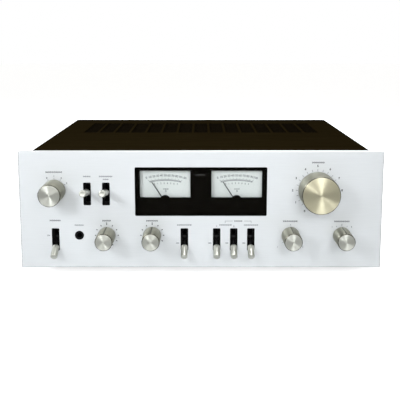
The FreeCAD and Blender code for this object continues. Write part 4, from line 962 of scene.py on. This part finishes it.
# rubber: dull, with a grain of 1.2 mm
foot_rubber, tree, shader = new_material("moulded_rubber_black", "161616", 0, 0.7)
grain(tree, shader, 0.8, ("131313", "1b1b1b"), (0.62, 0.8), (0.15, 0.03))
foot = spun(
    [
        (2.1, FOOT_WELL),
        (6, FOOT_WELL),
        (6, 0.5),
        (6.5, 0),
        (8.0, 0),
        (8.4, 0.6),
        (9.2, 0.6),
        (9.6, 0),
        (11.0, 0),
        (11.4, 0.6),
        (12.2, 0.6),
        (12.6, 0),
        (14.4, 0),
        (15.1, 0.7),
        (16.95, 10.6),
        (16.95, 11.7),
        (16.6, 12),
        (2.1, 12),
        (2.1, FOOT_WELL),
    ],
    72,
)
bm = repeated(foot, [facing((x, y, 0), (0, 0, 1)) for x, y in FEET])
finished("rubber_feet", bm, [foot_rubber], "chassis", ["feet"], smooth=30)


# Screws: blackened steel with a round cross head. One size holds the case together at the back of
# the sub-panel, the sides, the lip and the floor, and a larger one holds the feet.
def cross_screw(head_r, top_r, head_h, shank_r, shank_l):
    """A screw on the y axis whose head faces +y from its seat at the origin."""
    bm = spun(
        [
            (0, head_h),
            (0.8 * top_r, head_h),
            (top_r, 0.86 * head_h),
            (0.5 * (top_r + head_r), 0.55 * head_h),
            (head_r, 0.15 * head_h),
            (head_r, 0),
            (shank_r, 0),
            (shank_r, -shank_l),
            (0, -shank_l),
        ],
        24,
    )
    half = 0.1 * head_r
    reach = 0.52 * head_r

    def top():
        """The faces of the head's flat end."""
        return [f for f in bm.faces if f.calc_center_median().y > head_h - TOUCH]

    for across in (Vector((1, 0, 0)), Vector((0, 0, 1))):
        for side in (-reach, -half, half, reach):
            cut(bm, top(), side * across, across)
    cross = []
    for face in top():
        middle = face.calc_center_median()
        narrow, wide = sorted((abs(middle.x), abs(middle.z)))
        if narrow < half and wide < reach:
            cross.append(face)
    recess = pushed_in(bm, cross, (0, -0.55 * head_h, 0))
    floor_verts = {v for f in recess for v in f.verts if v.co.y < 0.5 * head_h}
    bmesh.ops.scale(bm, verts=list(floor_verts), vec=(0.75, 1, 0.75))
    return bm


# blackened steel: dark, with a metal gloss on its curves
screw_steel, tree, shader = new_material("blackened_steel", "2a2a2a", 1.0, 0.4)
grain(tree, shader, 1.5, ("242424", "323232"), (0.33, 0.48))
SIDES = (-1, 1)
screws = [facing((side * 190, 8.2, z), (0, 1, 0)) for side in SIDES for z in (42, 120)]
screws += [facing((side * COVER_HALF, y, 34), (side, 0, 0)) for side in SIDES for y in (57.2, 244)]
screws += [facing((x, COVER_REAR, 142.5), (0, 1, 0)) for x in (-160, 0, 160)]
screws += [facing((x, y, COVER_FOOT), (0, 0, -1)) for x in (-140, 0, 140) for y in (15.2, 284.6)]
bm = repeated(cross_screw(2.9, 2.1, 1.9, 1.5, 6.0), screws)
finished(
    "case_screws_cross", bm, [screw_steel], "chassis", ["case_screws"], smooth=30
)
bm = repeated(
    cross_screw(3.9, 3.1, 2.6, 1.95, 11.0),
    [facing((x, y, FOOT_WELL), (0, 0, -1)) for x, y in FEET],
)
finished(
    "foot_screws_cross", bm, [screw_steel], "chassis", ["foot_screws"], smooth=30
)


# Phono sockets: nickel plated shells riveted in the rear panel, each with a moulded insulator,
# white in the upper row and red in the lower one, round a sprung contact.
REAR_Y = 292.8  # the rear panel's outer face
SHELL_BACK = 285.6
SHELL_RIM = 303.1
SHELL_MOUTH = 303.3
PHONO_X = [58 + 18 * i for i in range(7)]
PHONO_ROWS = {
    "white": (87, "dcd9cf", ("d6d3c9", "e2dfd6")),
    "red": (69, "a3281f", ("9a241c", "ac2d23")),
}
# nickel: warm and mirror bright
nickel, tree, shader = new_material("bright_nickel_plate", "c9c5ba", 1.0, 0.18)
grain(tree, shader, 1.0, ("c3bfb4", "cfcbc1"), (0.14, 0.24))
every_socket = [Matrix.Translation((x, 0, row[0])) for row in PHONO_ROWS.values() for x in PHONO_X]
shell = spun(
    [
        (3.5, SHELL_RIM),
        (3.7, SHELL_MOUTH),
        (3.95, SHELL_MOUTH),
        (4.15, SHELL_RIM),
        (4.15, 294.3),
        (6.2, 294.3),
        (6.4, 294.1),
        (6.4, REAR_Y),
        (4.6, REAR_Y),
        (4.6, SHELL_BACK),
        (3.5, SHELL_BACK),
        (3.5, SHELL_RIM),
    ],
    48,
)
bm = repeated(shell, every_socket)
finished("phono_shells", bm, [nickel], "chassis", ["phono_sockets"], smooth=30)
contact = spun(
    [(0, 293.5), (1.35, 293.5), (1.35, 301.9), (1.6, 301.9), (1.6, 292.5), (0, 292.5)],
    24,
)
bm = repeated(contact, every_socket)
finished("phono_contacts", bm, [nickel], "chassis", smooth=30)
for name, (z, colour, grains) in PHONO_ROWS.items():
    # nylon: half gloss, mottled over 1.2 mm
    nylon, tree, shader = new_material("moulded_nylon_" + name, colour, 0, 0.35)
    grain(tree, shader, 0.8, grains, (0.3, 0.42), (0.05, 0.02))
    insulator = spun(
        [
            (1.6, 302.3),
            (1.9, 302.6),
            (3.2, 302.6),
            (3.5, 302.3),
            (3.5, 286),
            (1.6, 286),
            (1.6, 302.3),
        ],
        32,
    )
    bm = repeated(insulator, [Matrix.Translation((x, 0, z)) for x in PHONO_X])
    finished("phono_nylon_" + name, bm, [nylon], "chassis", smooth=30)


# Ground terminal and speaker terminals: threaded nickel posts, the ground post with a knurled nut
# and the speaker posts, on a phenolic board, with knurled moulded caps, red over black.
FLUTES = 36
FLUTE_DEEP = 0.35
NUT_R = 5.5
CAP_R = 6.0
GROUND = (34, 78)
POST_X = [-68.5 + 23 * i for i in range(4)]
POST_ROWS = {
    "red": (90, "a3221a", ("981e17", "ae271e")),
    "black": (66, "1a1a1a", ("161616", "202020")),
}


def knurl(bm, radius):
    """Presses straight flutes in the widest part of a piece turned in twice as many steps."""
    for vert in bm.verts:
        reach = math.hypot(vert.co.x, vert.co.z)
        step = round(math.atan2(vert.co.x, vert.co.z) * FLUTES / math.pi)
        if reach > radius - 0.05 and step % 2:
            vert.co.x *= 1 - FLUTE_DEEP / radius
            vert.co.z *= 1 - FLUTE_DEEP / radius


nut = spun(
    [
        (0, 305.8),
        (1.6, 305.8),
        (2, 305.4),
        (2, 298.8),
        (4.6, 298.8),
        (NUT_R, 298.2),
        (NUT_R, 293.8),
        (4.9, REAR_Y),
        (2, REAR_Y),
        (2, 288.6),
        (0, 288.6),
    ],
    2 * FLUTES,
)
knurl(nut, NUT_R)
bmesh.ops.translate(nut, verts=nut.verts, vec=(GROUND[0], 0, GROUND[1]))
finished("ground_post_and_nut", nut, [nickel], "chassis", ["ground_terminal"], smooth=25)
# laminated paper and resin: brown, with fibres 2 mm long
board_phenolic, tree, shader = new_material("laminated_phenolic_board", "3a2d20", 0, 0.45)
grain(tree, shader, 0.5, ("33271b", "433526"), (0.4, 0.55), (0.05, 0.02))
refinish(board_phenolic, "speaker_terminals")
for name, (z, colour, grains) in POST_ROWS.items():
    # phenolic moulding: a clear gloss on every flute
    plastic, tree, shader = new_material("moulded_phenolic_" + name, colour, 0, 0.3)
    grain(tree, shader, 1.0, grains, (0.25, 0.38))
    terminal_cap = spun(
        [
            (0, 305.6),
            (3.4, 305.6),
            (3.8, 306.1),
            (5.2, 306.1),
            (CAP_R, 305.4),
            (CAP_R, 299.0),
            (5.3, 298.4),
            (5.3, 296.4),
            (5.0, 296.1),
            (2.3, 296.1),
            (2.3, 305.1),
            (0, 305.1),
        ],
        2 * FLUTES,
    )
    knurl(terminal_cap, CAP_R)
    bm = repeated(terminal_cap, [Matrix.Translation((x, 0, z)) for x in POST_X])
    finished(
        "terminal_caps_" + name,
        bm,
        [plastic],
        "chassis",
        ["terminal_caps"],
        smooth=25,
    )


# Outlets and cord gland: two outlets moulded in dark brown urea and a bush of black rubber, all
# pushed into their holes from outside until they snap behind the sheet.
# urea moulding: brown with a soft gloss
outlet_plastic, tree, shader = new_material("moulded_urea_brown", "33261c", 0, 0.4)
grain(tree, shader, 0.8, ("2d2118", "3a2c21"), (0.35, 0.5), (0.05, 0.02))
refinish(outlet_plastic, "ac_outlets")
refinish(foot_rubber, "cord_gland")


# Printing on the rear panel: pale grey screen ink with numbers, plus and minus signs, frames and
# rows of fine marks.
FRAME_T = 0.4
# one thick coat that stands out well on the black
rear_ink, tree, shader = new_material("screen_ink_pale_grey", "b9b9b4", 0, 0.6)
shader.inputs["Specular IOR Level"].default_value = 0.2
grain(tree, shader, 2.0, ("b0b0ab", "c3c3be"), (0.55, 0.7))


def frame_lines(bm, x0, x1, z0, z1, y):
    """A printed rectangle of thin lines."""
    for x in (x0, x1):
        bar(bm, x, (z0 + z1) / 2, z1 - z0, FRAME_T, 0, y)
    for z in (z0, z1):
        bar(bm, (x0 + x1) / 2, z, x1 - x0, FRAME_T, 90, y)


bm = bmesh.new()
frame_lines(bm, 48.5, 175.5, 58.5, 103.5, REAR_Y)
for i, x in enumerate(PHONO_X):
    figures(bm, str(7 - i), 3.0, x, 98.0, REAR_Y, back=True)
    mark_row(bm, x, 106.5, 12.0, 1.6, REAR_Y)
for z, text in ((87, "1"), (69, "2")):
    figures(bm, text, 2.4, 178.5, z, REAR_Y, back=True)
mark_row(bm, GROUND[0], 88.0, 10.0, 1.8, REAR_Y)
frame_lines(bm, -84, 16, 50, 106, REAR_Y)
for i, x in enumerate(POST_X):
    figures(bm, str(4 - i), 3.0, x, 110.0, REAR_Y, back=True)
for z, text in ((90, "+"), (66, "-")):
    figures(bm, text, 3.4, 19.5, z, REAR_Y, back=True)
mark_row(bm, -34, 116.5, 26.0, 1.8, REAR_Y)
frame_lines(bm, -173.5, -96.5, 80, 112, REAR_Y)
for x, text in ((-116, "1"), (-154, "2")):
    figures(bm, text, 3.0, x, 115.5, REAR_Y, back=True)
mark_row(bm, -135, 76.0, 34.0, 1.8, REAR_Y)
mark_row(bm, -170, 38.5, 16.0, 1.8, REAR_Y)
finished("rear_printing", bm, [rear_ink], "chassis")


# Inside: transformer, capacitors, heat sink with its transistors, two circuit boards, and the
# switches and controls behind the panel.
# the lacquered edges of the laminations draw fine lines across the core
core_steel, tree, shader = new_material("lacquered_core_steel", "5a5652", 0.8, 0.45)
grain(tree, shader, 1.0, ("4c4845", "67625d"), (0.38, 0.55), (0.2, 0.05), (0.05, 1, 0.05))
refinish(core_steel, "transformer_core")
# varnished paper over the wire: amber, with streaks 2 mm apart up its height
winding_tape, tree, shader = new_material("varnished_paper_over_copper", "a8763a", 0, 0.5)
grain(tree, shader, 0.5, ("966732", "b88443"), (0.4, 0.6), (0.1, 0.05), (1, 1, 0.1))
refinish(winding_tape, "transformer_winding")
# shrunk vinyl: smooth and glossy, with creases 3 mm apart
sleeve, tree, shader = new_material("shrunk_vinyl_sleeve_black", "20222a", 0, 0.35)
grain(tree, shader, 0.3, ("1b1d24", "272a33"), (0.3, 0.42), (0.05, 0.05))
refinish(sleeve, "filter_capacitors")
# extruded fins, anodised black: faint lines up their height
sink_anodising, tree, shader = new_material("anodised_aluminium_black", "1c1c1d", 0.6, 0.45)
grain(tree, shader, 1.0, ("171718", "232324"), (0.4, 0.5), stretch=(1, 1, 0.05))
refinish(sink_anodising, "heat_sink")
# drawn and plated cans: pale and bright
can_nickel, tree, shader = new_material("nickel_plated_cans", "b4b2ab", 1.0, 0.25)
grain(tree, shader, 0.8, ("aba9a2", "bdbbb4"), (0.2, 0.32))
refinish(
    can_nickel,
    "power_transistors",
    "meter_movements",
    "volume_control",
    "bass_control",
    "treble_control",
    "balance_control",
    "speakers_switch",
    "function_switch",
)
# painted shade: the switch bodies behind the slots are coloured black like the socket
refinish(socket_plastic, "power_switch", "lever_switches")
# resin paper: tan, with fibres 2.5 mm long
board_resin, tree, shader = new_material("paper_phenolic_circuit_board", "8a5a2c", 0, 0.5)
grain(tree, shader, 0.4, ("7b4f26", "986534"), (0.42, 0.58), (0.05, 0.02))
refinish(board_resin, "amplifier_board", "preamplifier_board")
# frosted glass: a milky white
lamp_glass, tree, shader = new_material("frosted_lamp_glass", "e8e2d0", 0, 0.3)
grain(tree, shader, 0.8, ("e2dcca", "eee9da"), (0.25, 0.4))
refinish(lamp_glass, "meter_lamps")
